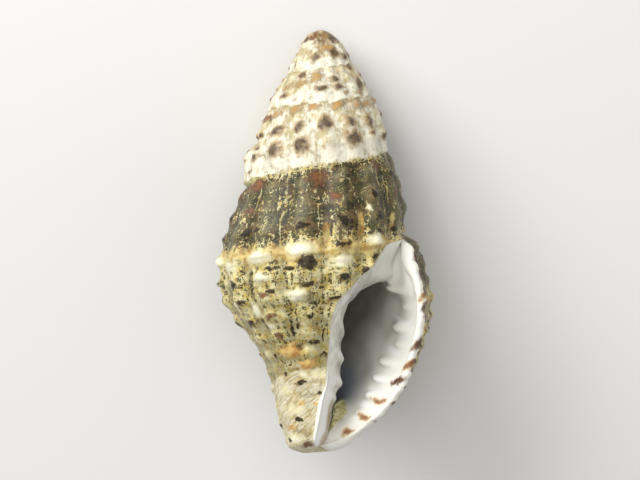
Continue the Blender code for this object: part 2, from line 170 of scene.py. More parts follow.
# Ribs run down the shell, cords round it, and a bead stands where they cross
sculpture = {
    "ribAt": -0.757,            # the turn of one rib's crest
    "ribsLast": 14.1,           # ribs in a turn, on the last turn and on the spire
    "ribsSpire": 15.3,
    "ribChange": -1.2,          # the turn where one count gives way to the other
    "ribHeight": 0.28,
    "ribSharp": 1.2,            # 1 for a plain wave, more for narrower ribs
    "ribWander": (0.10, 2.6),   # how far ribs stray, in ribs, and the size of their bends
    "ribFoot": (0.66, 0.25),    # share where the ribs have ended, and how soon
    # share, how many ribs' widths a rib of the spire leans by; the turn where that ends
    "ribLean": [(0.0, 0.0), (0.025, 0.0), (0.10, 0.36), (0.18, 0.53), (0.30, 0.62)],
    "leanEnds": (-1.4, 0.4),
    # share on the spire, where the last turn begins, at the lip, half width, height
    "cords": [
        (0.028, 0.035, 0.055, 0.019, 0.17), (0.098, 0.115, 0.140, 0.022, 0.21),
        (0.176, 0.195, 0.220, 0.022, 0.22), (0.285, 0.288, 0.300, 0.023, 0.25),
        (0.370, 0.370, 0.382, 0.020, 0.21), (0.448, 0.448, 0.455, 0.019, 0.20),
        (0.520, 0.520, 0.525, 0.018, 0.20), (0.590, 0.590, 0.592, 0.018, 0.18),
        (0.655, 0.655, 0.655, 0.018, 0.17), (0.720, 0.720, 0.720, 0.018, 0.16),
        (0.785, 0.785, 0.785, 0.018, 0.15), (0.850, 0.850, 0.850, 0.017, 0.13),
        (0.910, 0.910, 0.910, 0.015, 0.10),
    ],
    "cordWander": (0.004, 1.7),  # how far cords stray, in shares, and the size of their bends
    "cordLow": 0.30,            # a cord's height between two ribs beside that on a rib
    "spireFlat": (0.85, -1.35, 0.3),    # height of the spire's sculpture, to which turn
    "beadSpread": 0.55,         # how much one bead differs from the next
    "slant": 0.55,              # share the neck's cords drop in a turn
    "slantFrom": (0.66, 0.14),  # share where that starts, and how soon
    # height of the neck's cords beside the others, from which share, before which turn
    "neckFlat": (0.45, 0.66, 0.08, -0.5, 0.1),
    "threads": (0.42, 0.035),   # spacing and height of the fine threads between the cords
    "growth": [(0.75, 0.030), (0.33, 0.022)],   # spacings and heights of the growth lines
    "crust": [(1.3, 0.060), (0.55, 0.045), (0.27, 0.026)],  # sizes and heights of its lumps
    "markDome": (0.17, 0.7, 0.6, 0.2),  # a mark's height, how much less on the neck, from where
    # how far the plain skin lies below the outline of its beads, by depth
    "sink": [(0.0, 0.06), (0.8, 0.11), (2.0, 0.23), (3.2, 0.25), (4.2, 0.19), (5.5, 0.11),
             (7.0, 0.13), (9.0, 0.15), (31.4, 0.15)],
    "sinkEnds": 0.04,           # turns before the lip over which that ends
    "lipFlat": (0.55, 0.025),   # how much flatter it is at the lip's edge, over how many turns
    "seamGroove": (0.05, 0.008),    # depth, half width in shares
    # how far the seams sway with the ribs and at random, how high, units a turn, size of a bend
    "seamWave": (0.07, 0.09, 0.035, 30.0, 1.7),
    "seamTurns": (-4.5, -0.15),     # the turns where they do
    # one taller rib at the back: turn, share, height, half width in turns, half height
    "proudRib": (-0.33, 0.30, 0.26, 0.022, 0.12),
    "fullSize": 5.4,            # the seam's radius from which the sculpture has its full size
    "valley": 0.13,             # how far the skin lies lower between ribs and cords
}


# How large the sculpture is at a turn: the seam's radius beside the full one, from least to 1
def sizeAt(turn, least):
    return np.clip(seamAt(turn)[1] / sculpture["fullSize"], least, 1.0)


# Count of ribs passed at a turn, whole on each rib's crest: turns times ribs a turn, plus the
# lean of the spire's ribs
def ribCount(turn, share):
    change = sculpture["ribChange"]
    leanTurn, fading = sculpture["leanEnds"]
    spire = np.minimum(turn - change, 0.0) * sculpture["ribsSpire"]
    last = (np.maximum(turn, change) - sculpture["ribAt"]) * sculpture["ribsLast"]
    lean = curveThrough(share, sculpture["ribLean"]) * (1.0 - ease((turn - leanTurn) / fading))
    return spire + last + lean


# Share of height of a cord's crest: eased from its place on the spire to its place where the
# last turn begins, then straight on to its place at the lip
def cordCrest(cord, turn):
    spire, start, lip = cord[:3]
    crest = spire + (start - spire) * ease((turn + 1.5) / 0.5)
    return crest + (lip - start) * np.clip(turn + 1.0, 0.0, 1.0)


# Share at which the neck's cords are measured: they drop with the turn in front of the shell
def slanted(turn, share):
    start, fading = sculpture["slantFrom"]
    ahead = np.minimum(turn - shellForm["leftTurn"], 0.0) * np.where(turn < -1.0, 0.0, 1.0)
    return share - sculpture["slant"] * ahead * ease((share - start) / fading)


# How far ribs, cords and beads stand out: the rib's wave (a raised cosine of the rib count, a
# little sharpened) plus a bell for each cord, higher where a rib crosses it by a seeded random
# amount for each bead, shrinking with the seam's radius up the spire
def sculptureHeight(turn, share):
    point = around(*plainSkin(turn, share), angleAt(turn))
    stray, bend = sculpture["ribWander"]
    count = ribCount(turn, share) + stray * lumps(point, bend, seed=3)
    ribs = (0.5 + 0.5 * np.cos(2.0 * math.pi * count)) ** sculpture["ribSharp"]
    foot, fading = sculpture["ribFoot"]
    out = sculpture["ribHeight"] * ribs * ease(share / 0.03) * ease((foot - share) / fading)
    beads = np.random.default_rng(11).uniform(-1.0, 1.0, (97, len(sculpture["cords"])))
    whole = np.round(count).astype(int) % 97
    stray, bend = sculpture["cordWander"]
    low = slanted(turn, share) + stray * lumps(point, bend, seed=5)
    flatTo, start, soon, end, fading = sculpture["neckFlat"]
    neck = ease((share - start) / soon) * ease((end - turn) / fading)
    flat = 1.0 - (1.0 - flatTo) * neck
    least = sculpture["cordLow"]
    for number, cord in enumerate(sculpture["cords"]):
        spread = 1.0 + sculpture["beadSpread"] * beads[whole, number] * ribs
        crest = bell((low - cordCrest(cord, turn)) / cord[3])
        out = out + cord[4] * flat * crest * (least + (1.0 - least) * ribs * spread)
    proudTurn, proudShare, proudHeight, wide, tall = sculpture["proudRib"]
    out = out + proudHeight * bell((turn - proudTurn) / wide, (share - proudShare) / tall)
    flatTo, start, fading = sculpture["spireFlat"]
    out = out * (1.0 - (1.0 - flatTo) * (1.0 - ease((turn - start) / fading)))
    less, run = sculpture["lipFlat"]
    out = out * (1.0 - less * nearLip(turn, share, run)) - sculpture["valley"]
    return out * sizeAt(turn, 0.0) * ease(share / 0.02) * ease((0.97 - share) / 0.04)


unitsRound = 2.0 * math.pi * 6.0    # units round the shell at a radius of 6


# The fine relief: threads along the turn as a cosine of depth, growth lines as lumps drawn out
# down the shell, and lumps of crust in three sizes
def fineRelief(turn, share):
    radius, depth = plainSkin(turn, share)
    point = around(radius, depth, angleAt(turn))
    spacing, height = sculpture["threads"]
    down = slanted(turn, share) * 20.0 / spacing
    thread = height * 0.5 * np.cos(2.0 * math.pi * (down + 0.5 * lumps(point, 1.8, seed=7)))
    run = turn * unitsRound
    drawn = np.stack([run, depth * 0.16, 0.0 * run], axis=-1)
    coarse, fine = sculpture["growth"]
    lines = coarse[1] * lumps(drawn, coarse[0], seed=13) + fine[1] * lumps(drawn, fine[0], seed=17)
    out = (thread + lines) * (0.35 + 0.65 * ease((turn + 1.3) / 0.3))
    for number, (size, rise) in enumerate(sculpture["crust"]):
        out = out + rise * lumps(point, size, seed=19 + number)
    return out * sizeAt(turn, 0.2) * ease(share / 0.01) * ease((0.985 - share) / 0.03)


# Radius and depth of the plain last turn: the profile's three columns blended along the turn,
# drawn in to the seam's own radius at its top, with the tip's lobe added to its depth
def lastTurn(turn, share):
    left = shellForm["leftTurn"]
    p = curveThrough(share, shellForm["profile"])
    early = np.clip((turn + 1.0) / (left + 1.0), 0.0, 1.0)
    late = np.clip((turn - left) / (0.0 - left), 0.0, 1.2)
    before, after = shellForm["fillOut"]
    first = p[..., 0] + (p[..., 1] - p[..., 0]) * (1.0 - (1.0 - early) ** before)
    radius = first + (p[..., 2] - p[..., 1]) * late ** after
    top, ring = seamAt(turn)
    start = shellForm["profile"][0]
    drawn = curveThrough(turn, [(-1.0, start[1]), (left, start[2]), (0.0, start[3])])
    radius = radius + (ring - drawn) * ease((0.1 - share) / 0.1)
    lobe = curveThrough(share, shellForm["tipLobe"]) * curveThrough(turn, shellForm["lobeRound"])
    return radius, top + share * (shellForm["tipDepth"] - top) + lobe


# The crease in front of the old lip, 0 to 1: a bell across a slanting line down the turn
def creaseAt(turn, down):
    at, slant, _, wide, start, soon = shellForm["varixCrease"]
    away = turn - at - slant * np.clip((down - start) / (1.0 - start), 0.0, 1.0)
    return bell(away / wide) * ease((down - start) / soon)


# Radius and depth of a plain turn of the spire: straight from seam to seam, swollen by a
# parabola, with the old lip as a bell along the turn, less the hollow and the crease beside it
def spireTurn(turn, share):
    down = share / shellForm["lipShare"]
    top, above = seamAt(turn)
    foot, below = seamAt(turn + 1.0)
    swell = shellForm["spireBulge"] * (foot - top) * 4.0 * down * (1.0 - down)
    at, height, wide, start, end = shellForm["varix"]
    varix = height * bell((turn - at) / wide) * np.sin(
        math.pi * np.clip((down - start) / (end - start), 0.0, 1.0))
    at, sunk, wide, middle, tall = shellForm["varixStep"]
    varix = varix - sunk * bell((turn - at) / wide, (down - middle) / tall)
    varix = varix - shellForm["varixCrease"][2] * creaseAt(turn, down)
    domed, reach = shellForm["apexDome"]
    dome = 1.0 + domed * (1.0 - ease((turn - shellForm["firstTurn"] + 1.0) / reach))
    return above + (below - above) * down + swell + varix, top + down ** dome * (foot - top)


# Radius and depth of the plain outside: the last turn's, or the spire's above it
def plainSkin(turn, share):
    turn, share = np.broadcast_arrays(np.asarray(turn, float), np.asarray(share, float))
    radius, depth = lastTurn(np.maximum(turn, -1.0), share)
    spireRadius, spireDepth = spireTurn(np.minimum(turn, -1.0),
                                        np.minimum(share, shellForm["lipShare"]))
    blend = ease((turn + 1.0 + shellForm["spireBlend"]) / shellForm["spireBlend"])
    radius = np.where(turn < -1.0, spireRadius + (radius - spireRadius) * blend, radius)
    return radius, np.where(turn < -1.0, spireDepth, depth)


# Rises from 0 to 1 over the last run of turns before the lip's edge
def nearLip(turn, share, run):
    return ease(1.0 + (turn - lipTurn(share)) / run)


# A point of the outside: the plain radius plus the sculpture, the fine relief, the raised edge
# beside the inner lip, the marks and the lip's flare, less the seam's groove and the sink
def outside(turn, share, bare=False):
    turn, share = np.broadcast_arrays(np.asarray(turn, float), np.asarray(share, float))
    radius, depth = plainSkin(turn, share)
    if not bare:
        size = sizeAt(turn, 0.2)
        depth = depth + size * seamSway(turn, share)
        sunk, wide = sculpture["seamGroove"]
        groove = sunk * size * bell(share / wide)
        radius = radius + sculptureHeight(turn, share) + fineRelief(turn, share) - groove
        radius = radius + edgeRidge(turn, share) + size * markHeight(turn, share)
        atLip = nearLip(turn, share, sculpture["sinkEnds"])
        radius = radius - curveThrough(depth, sculpture["sink"]) * (1.0 - atLip)
        spread = nearLip(turn, share, openingForm["flareRun"])
        radius = radius + curveThrough(depth, openingForm["flare"]) * spread
    return around(radius, depth, angleAt(turn))


# How far the seams sway up and down: with the ribs and by noise, fading as a bell away from
# the seam above a turn and the seam below it
def seamSway(turn, share):
    ribs, chance, reach, length, bend = sculpture["seamWave"]
    first, last = sculpture["seamTurns"]
    out = np.zeros(np.broadcast_shapes(np.shape(turn), np.shape(share)))
    for down, later in ((share, 0.0), (share - shellForm["lipShare"], 1.0)):
        at = np.asarray(turn + later, float)
        spot = np.stack([at * length, 0.0 * at, 0.0 * at], axis=-1)
        sway = ribs * np.sin(2.0 * math.pi * ribCount(at, 0.0 * at))
        sway = sway + chance * lumps(spot, bend, seed=71)
        out = out + (turn > first) * (turn < last - later) * sway * bell(down / reach)
    return out


# How far dark, white and orange marks stand out as low domes: the square of their cover
def markHeight(turn, share):
    height, less, start, soon = sculpture["markDome"]
    dome = sum(covered(kind, turn, share) ** 2 for kind in ("dark", "white", "orange"))
    low = ease((np.asarray(share) - start) / soon)
    return height * np.minimum(dome, 1.0) * (1.0 - less * low)


# Way along the inner lip's edge at a share of height, and how far beyond that edge a turn
# lies, in units at the pillar's radius of 3
def fromEdge(turn, share):
    ways = np.linspace(0.0, 1.0, 201)
    edgeTurn, edgeShare = innerEdge(ways)
    run = (turn - np.interp(share, edgeShare, edgeTurn)) * 2.0 * math.pi * 3.0
    return np.interp(share, edgeShare, ways), run


# How far the raised edge beside the inner lip stands out: its height at the same share, fading
# as a bell with the distance run from the edge
def edgeRidge(turn, share):
    way, run = fromEdge(turn, share)
    near = np.where(run > -0.05, bell(run / openingForm["ridgeFoot"][0]), 0.0)
    return curveThrough(way, openingForm["ridge"]) * near * np.where(turn < -1.3, 0.0, 1.0)


# The opening: the lip's edge, the inner lip's edge and the bore behind them
openingForm = {
    # depth, how far the lip flares there, and over how many turns it does so
    "flare": [(22.5, 0.0), (25.5, 0.20), (27.0, 0.30), (29.0, 0.30), (30.5, 0.10), (31.4, 0.0)],
    "flareRun": 0.09,
    # share, degrees from +X
    "lipLine": [
        (0.00, 14.0), (0.04, 20.0), (0.10, 23.0), (0.85, 23.0), (0.90, 18.0), (0.95, 8.0),
        (0.98, -15.0), (1.00, -58.0),
    ],
    # way along it from the lip's corner, share, degrees from +X
    "innerLine": [
        (0.00, 0.2844, 14.0), (0.07, 0.290, 27.0), (0.14, 0.302, 39.0), (0.21, 0.339, 48.5),
        (0.28, 0.382, 57.5), (0.35, 0.431, 67.6), (0.42, 0.481, 77.0), (0.50, 0.545, 80.5),
        (0.70, 0.760, 80.0), (0.79, 0.836, 87.0), (0.87, 0.907, 92.0), (0.95, 0.970, 100.0),
        (1.00, 1.000, 105.0),
    ],
    # way down the rows, share
    "rowLine": [(0.0, 0.2844), (0.75, 0.90), (0.90, 0.97), (1.0, 1.0)],
    # share of the bore's height, radius
    "pillar": [
        (0.00, 4.60), (0.05, 3.75), (0.103, 2.75), (0.168, 2.02), (0.225, 1.66), (0.31, 1.58),
        (0.59, 1.52), (0.65, 1.38), (0.71, 1.08), (0.80, 0.74), (0.87, 0.58), (0.93, 0.48),
        (0.97, 0.34), (1.00, 0.00),
    ],
    "pillarTop": (0.35, 0.15, 0.05),    # shares down which it follows the seam and the corner
    "deepPillar": (1.5, 0.5, 0.02, 0.25),   # least radius deep inside, from which share, turns
    # turns in from the lip, how far the bore's top lies below the seam
    "boreDrop": [(0.0, 1.2), (0.006, 2.3), (0.014, 3.1), (0.03, 3.55), (0.06, 3.6), (0.12, 3.4),
                 (0.35, 1.8), (1.0, 1.0)],
    # turns in from the lip, thickness of the wall
    "wall": [(0.0, 0.60), (0.015, 1.25), (0.035, 1.85), (0.065, 2.3), (0.10, 2.6), (0.16, 2.8),
             (0.21, 2.6), (0.3, 1.9), (0.45, 1.2), (1.0, 0.95)],
    # turns in from the lip, depth of the bore's bottom
    "boreFloor": [(0.0, 31.4), (0.1, 31.2), (0.2, 30.9), (0.3, 30.0), (0.4, 28.5), (0.5, 26.8),
                  (0.75, 24.9)],
    "boreEnd": 0.68,            # turns in from the lip
    "boreEnds": (0.16, 0.10),   # how much of its height its two ends close over
    "thinBore": 0.05,           # the least gap between its walls
    "rimRound": 0.40,           # the most the rim swells ahead of the lip's edge
    # way along the inner lip, turns from the lip to where its face meets the pillar
    "faceTurn": [(0.0, 0.030), (0.08, 0.048), (0.20, 0.074), (0.32, 0.078), (1.0, 0.078)],
    # way along the inner lip, how strongly its face leaves the edge and meets the pillar
    "faceReach": [(0.0, 0.10, 0.10), (0.10, 0.12, 0.35), (0.26, 0.15, 1.0), (1.0, 0.15, 1.0)],
    # way along the inner lip, height of its raised edge
    "ridge": [(0.0, 0.0), (0.05, 0.05), (0.3, 0.09), (0.55, 0.08), (0.70, 0.18), (0.84, 0.42),
              (0.94, 0.36), (1.0, 0.0)],
    "ridgeFoot": (0.22, 0.34),  # how far its two sides run, outside and on the face
    # the inner lip's knobs, the outer lip's teeth and the dirt stuck in the canal: depth, half
    # height, rise, turns in from the lip, half width in turns
    "knobs": [(20.35, 0.30, 0.16, 0.062, 0.050), (22.95, 0.42, 0.27, 0.062, 0.050),
              (24.85, 0.36, 0.30, 0.062, 0.050), (26.70, 0.38, 0.30, 0.062, 0.050),
              (27.90, 0.30, 0.20, 0.062, 0.050)],
    "teeth": [(19.60, 0.24, 0.70, 0.046, 0.036), (20.95, 0.24, 0.18, 0.034, 0.020),
              (22.45, 0.38, 0.55, 0.050, 0.028), (23.75, 0.26, 0.20, 0.034, 0.020),
              (25.00, 0.34, 0.58, 0.054, 0.030), (26.25, 0.33, 0.55, 0.048, 0.028),
              (27.55, 0.32, 0.50, 0.040, 0.026), (28.8, 0.26, 0.30, 0.034, 0.020)],
    "dirt": [(29.00, 0.95, 1.25, 0.155, 0.055), (30.1, 0.55, 0.70, 0.135, 0.050)],
    "toothClimb": 5.5,          # units a tooth would climb in a whole turn
    "dirtRough": (0.5, 0.32),   # how uneven the dirt is, and the size of its lumps
    # the pad in the upper corner: depth, half height, rise, part of the face, half width
    "corner": (18.40, 0.60, 0.60, 0.80, 0.25),
}


# 1 in the middle, closing like a quarter circle at the two ends
def roundEnds(share, first, last):
    near = np.clip(share / first, 0.0, 1.0)
    far = np.clip((1.0 - share) / last, 0.0, 1.0)
    return np.sqrt(1.0 - (1.0 - near) ** 2) * np.sqrt(1.0 - (1.0 - far) ** 2)


# Depths of the bore's top and bottom, back turns in from the lip
def boreSpan(back):
    return (seamAt(-back)[0] + curveThrough(back, openingForm["boreDrop"]),
            curveThrough(back, openingForm["boreFloor"]))


# Radius of the bore's inner wall: the pillar's, widened near its top to the turn above and in
# the corner to the seam, kept thick deep inside, with the knobs on it
def pillarRadius(back, share):
    radius = curveThrough(share, openingForm["pillar"])
    ring = seamAt(-back)[1] / seamAt(0.0)[1]
    upper, top, soon = openingForm["pillarTop"]
    radius = radius * (1.0 + (ring - 1.0) * np.clip(1.0 - share / upper, 0.0, 1.0))
    corner = (seamAt(0.0)[1] - radius) * np.clip(1.0 - share / top, 0.0, 1.0) ** 2
    radius = radius + corner * (1.0 - ease(back / soon))
    least, lower, start, soon = openingForm["deepPillar"]
    deep = np.where(share > lower, np.maximum(radius, least), radius)
    radius = radius + (deep - radius) * ease((back - start) / soon)
    return radius + knobHeight(back, share)


# Heights of a list of mounds: each falls off as e to the minus of a power of the distance's
# square, measured in depth and in turns from the lip, and climbs as it runs in
def moundHeight(kind, back, depth, power, climb=0.0):
    out = np.zeros(np.broadcast_shapes(np.shape(back), np.shape(depth)))
    for at, tall, height, middle, run in openingForm[kind]:
        here = at - climb * (back - middle)
        away = ((depth - here) / tall) ** 2 + ((back - middle) / run) ** 2
        out = out + height * np.exp(-away ** power)
    return out


# The knobs of the inner lip, as bells
def knobHeight(back, share):
    top, floor = boreSpan(back)
    return moundHeight("knobs", back, top + share * (floor - top), 1.0)


# The lumps of dirt, round-topped, roughened by small lumps
def dirtHeight(back, depth):
    rough, size = openingForm["dirtRough"]
    at = np.stack(np.broadcast_arrays(depth, back * 12.0, 0.0 * depth), axis=-1)
    return moundHeight("dirt", back, depth, 1.5) * (1.0 + rough * lumps(at, size, seed=31))


# Round-topped teeth behind the lip's edge, climbing a little as they run in
def toothHeight(back, depth):
    return moundHeight("teeth", back, depth, 1.5, openingForm["toothClimb"])


# Turn of the lip's edge at a share of height: its angle past the seam's, over a full circle
def lipTurn(share):
    return (curveThrough(share, openingForm["lipLine"]) - shellForm["seamAngle"]) / 360.0


# Turn and share of height along the inner lip's edge
def innerEdge(way):
    found = curveThrough(way, openingForm["innerLine"])
    return (found[..., 1] - shellForm["seamAngle"]) / 360.0 - 1.0, found[..., 0]


# A point of the bore back turns in from the lip, on its inner wall, or out by the gap left
# inside the outer wall's thickness
def boreWall(back, share, outer):
    back, share = np.broadcast_arrays(np.asarray(back, float), np.asarray(share, float))
    top, floor = boreSpan(back)
    depth = top + share * (floor - top)
    turn = lipTurn(share) - back
    innerRadius = pillarRadius(back, share)
    if not outer:
        return around(innerRadius, depth, angleAt(turn))
    seamDepth = seamAt(-back)[0]
    shellShare = np.clip((depth - seamDepth) / (shellForm["tipDepth"] - seamDepth), 0.0, 1.0)
    shellRadius = lastTurn(np.maximum(turn, -1.0), shellShare)[0]
    thick = curveThrough(back, openingForm["wall"]) + toothHeight(back, depth)
    thick = thick + dirtHeight(back, depth)
    gap = np.maximum(shellRadius - thick - innerRadius, openingForm["thinBore"])
    return around(innerRadius + gap * roundEnds(share, *openingForm["boreEnds"]), depth,
                  angleAt(turn))


# Share of the bore's height at a place on the inner lip's edge
def boreShare(way):
    turn, share = innerEdge(way)
    top = seamAt(turn)[0]
    depth = top + share * (shellForm["tipDepth"] - top)
    corner = seamAt(0.0)[0]
    return np.clip((depth - corner) / (shellForm["tipDepth"] - corner), 0.0, 1.0)


# From the inner lip's edge (part 0) over its face to the pillar (part 1): a cubic that leaves
# along the outside surface and ends running back along the pillar, with the raised edge and the
# corner's pad falling off as bells
def innerFace(way, part):
    startTurn, share = innerEdge(way)
    ridge = edgeRidge(startTurn, share)
    leave = angleAt(startTurn)
    outward = np.stack([np.cos(leave), 0.0 * leave, np.sin(leave)], axis=-1)
    start = outside(startTurn, share) - ridge[..., None] * outward
    down = boreShare(way)
    faceTurn = curveThrough(way, openingForm["faceTurn"])
    end = boreWall(faceTurn, down, False)
    reach = np.linalg.norm(end - start, axis=-1, keepdims=True)
    arrive = angleAt(lipTurn(down) - faceTurn)
    flat = np.zeros_like(leave)
    strength = reach * curveThrough(way, openingForm["faceReach"])
    leaving = np.stack([np.sin(leave), flat, -np.cos(leave)], axis=-1) * strength[..., :1]
    arriving = np.stack([np.sin(arrive), flat, -np.cos(arrive)], axis=-1) * strength[..., 1:]
    u = part[..., None]
    here = start * (1 + 2 * u) * (1 - u) ** 2 + end * u * u * (3 - 2 * u)
    here = here + leaving * u * (1 - u) ** 2 - arriving * u * u * (1 - u)
    run = part * reach[..., 0]
    here = here + outward * (ridge * bell(run / openingForm["ridgeFoot"][1]))[..., None]
    at, tall, rise, middle, wide = openingForm["corner"]
    depth = placing["midDepth"] - here[..., 1]
    pad = rise * bell((depth - at) / tall, (part - middle) / wide)
    return here + outward * (pad * ease(part / 0.1) * ease((1.0 - part) / 0.1))[..., None]


# Steps of the mesh: in a turn, down the spire's and the last turn's rows, round the rim and in
meshSteps = {"turn": 280, "spireRows": 32, "lastRows": 100, "rimRings": 6, "boreRings": 44}


# Share of height of each row: even down to the lip's corner, then by the row line
def rowShares():
    upper = np.linspace(0.0, shellForm["lipShare"], meshSteps["spireRows"] + 1)
    lower = curveThrough(np.linspace(0.0, 1.0, meshSteps["lastRows"] + 1)[1:],
                         openingForm["rowLine"])
    return np.concatenate([upper, lower])


# Turn and share at each step of the winding and each row. Near its start the last turn's grid
# bends to follow the inner lip's edge, and the bend dies out along the turn.
def windingGrid():
    rows = rowShares()
    steps = meshSteps["turn"]
    first = shellForm["firstTurn"]
    spire = np.linspace(first - 1.0, -1.0, steps * -first + 1)[:-1]
    spireTurns = np.repeat(spire[:, None], len(rows), axis=1)
    spireShares = np.repeat(rows[None, :], len(spire), axis=0)
    edgeTurn, edgeShare = innerEdge(np.linspace(0.0, 1.0, meshSteps["lastRows"] + 1))
    along = np.linspace(0.0, 1.0, steps + 1)[:, None]
    turns = -1.0 + along * (1.0 + lipTurn(rows))
    places = np.repeat(rows[None, :], steps + 1, axis=0)
    below = slice(meshSteps["spireRows"], None)
    turns[:, below] += (edgeTurn + 1.0) * (1.0 - along) ** 3
    places[:, below] += (edgeShare - rows[below]) * (1.0 - along) ** 2
    return np.concatenate([spireTurns, turns]), np.concatenate([spireShares, places])


# Turns in from the lip of each ring of the bore, closer together near the lip
def ringBacks():
    deep = meshSteps["boreRings"]
    return openingForm["boreEnd"] * (np.arange(deep + 1) / deep) ** 1.6


# Rings of the bore, each down the lip and back up the inner lip. The first ones go round the
# lip's rim on a half circle, the rest follow the bore inwards; the inner lip's half first
# crosses its face.
def boreRings():
    down = rowShares()[None, :]
    up = np.linspace(1.0, 0.0, meshSteps["lastRows"] + 1)[None, 1:-1]
    rim, deep = meshSteps["rimRings"], meshSteps["boreRings"]
    backs = ringBacks()
    edge = outside(lipTurn(down), down)
    ahead = outside(lipTurn(down) + 0.002, down, True) - outside(lipTurn(down), down, True)
    ahead = ahead / np.maximum(np.linalg.norm(ahead, axis=-1, keepdims=True), 1e-9)
    wall = boreWall(backs[:, None], down, True)
    half = (edge - wall[:1]) / 2.0
    size = np.minimum(np.linalg.norm(half, axis=-1, keepdims=True), openingForm["rimRound"])
    bend = (math.pi * np.arange(1, rim) / rim)[:, None, None]
    rounded = (edge + wall[:1]) / 2.0 + half * np.cos(bend) + ahead * size * np.sin(bend)
    lipSide = np.concatenate([rounded, wall])

    allBacks = np.concatenate([np.zeros(rim - 1), backs])[:, None]
    faceTurn = curveThrough(up, openingForm["faceTurn"])
    faceSteps = rim + np.count_nonzero(backs[:, None] < faceTurn, axis=0)
    even = np.minimum(np.arange(1, rim + deep + 1)[:, None] / faceSteps, 1.0)
    middle = ease(boreShare(up) / 0.10) * ease((1.0 - boreShare(up)) / 0.10)
    part = allBacks / faceTurn + (even - allBacks / faceTurn) * middle
    ways = np.repeat(up, len(allBacks), axis=0)
    face = innerFace(ways, np.clip(part, 0.0, 1.0))
    pillarSide = boreWall(allBacks, boreShare(up), False)
    innerSide = np.where((allBacks < faceTurn)[..., None], face, pillarSide)
    return np.concatenate([lipSide, innerSide], axis=1)


# The whole closed surface: its points, its faces and, for each face's corners, the number of
# the paint node it takes its marks from. A spire turn's foot is the next turn's top, so those
# vertices are shared, while each side keeps its own paint; the apex and the canal's tip are one
# vertex each; a fan closes the bore's end.
def buildShell(turns, places):
    grid = outside(turns, places)
    rings = boreRings()
    steps, spireRows = meshSteps["turn"], meshSteps["spireRows"]
    columns, rows = turns.shape
    start = columns - 1 - steps
    numbers = np.arange(columns * rows).reshape(columns, rows)
    paint = numbers.copy()
    numbers[: steps + 1, 0] = 0
    numbers[0, :] = 0
    numbers[start:, rows - 1] = numbers[-1, rows - 1]
    numbers[: start + 1, spireRows] = numbers[steps: start + 1 + steps, 0]

    lipLoop = numbers[-1, :]
    innerLoop = numbers[start, rows - 2: spireRows: -1]
    across = rings.shape[1]
    loops = columns * rows + np.arange((rings.shape[0] + 1) * across).reshape(-1, across)
    loopPaint = loops.copy()
    loops[0] = np.concatenate([lipLoop, innerLoop])
    rim = meshSteps["rimRings"]
    loops[: rim + 1, 0] = lipLoop[0]
    loops[: rim + 1, rows - 1] = lipLoop[-1]
    centre = columns * rows + (rings.shape[0] + 1) * across

    parts = [(numbers[: start + 1, : spireRows + 1], paint[: start + 1, : spireRows + 1]),
             (numbers[start:, :], paint[start:, :]),
             (closedLoop(loops), closedLoop(loopPaint))]
    faces, corners = [], []
    for vertices, painted in parts:
        cut, cutPaint = trimmed(quadsOf(vertices), quadsOf(painted))
        faces += cut
        corners += cutPaint
    last, lastPaint = closedLoop(loops)[-1], closedLoop(loopPaint)[-1]
    middle = np.full(across, centre)
    faces += np.stack([last[:-1], middle, last[1:]], axis=-1).tolist()
    corners += np.stack([lastPaint[:-1], lastPaint[:-1], lastPaint[1:]], axis=-1).tolist()

    points = np.concatenate([grid.reshape(-1, 3), rings[0], rings.reshape(-1, 3),
                             rings[-1].mean(axis=0)[None, :]])
    flatFaces = np.concatenate([np.asarray(face) for face in faces])
    used, place = np.unique(flatFaces, return_inverse=True)
    ends = np.cumsum([len(face) for face in faces])[:-1]
    faces = [piece.tolist() for piece in np.split(place, ends)]
    return points[used], faces, np.concatenate([np.asarray(corner) for corner in corners])


# A grid of numbers with its first column repeated at the end
def closedLoop(numbers):
    return np.concatenate([numbers, numbers[:, :1]], axis=1)


# Four corners of each cell of a grid of vertex numbers
def quadsOf(numbers):
    return np.stack([numbers[:-1, :-1], numbers[1:, :-1], numbers[1:, 1:], numbers[:-1, 1:]],
                    axis=-1).reshape(-1, 4)


# A cell whose corners run together becomes a triangle or goes; its paint numbers go with it
def trimmed(quads, paint):
    same = quads == np.roll(quads, 1, axis=1)
    count = same.sum(axis=1)
    whole, thin = count == 0, count == 1
    kept = ~same[thin]
    return (quads[whole].tolist() + quads[thin][kept].reshape(-1, 3).tolist(),
            paint[whole].tolist() + paint[thin][kept].reshape(-1, 3).tolist())


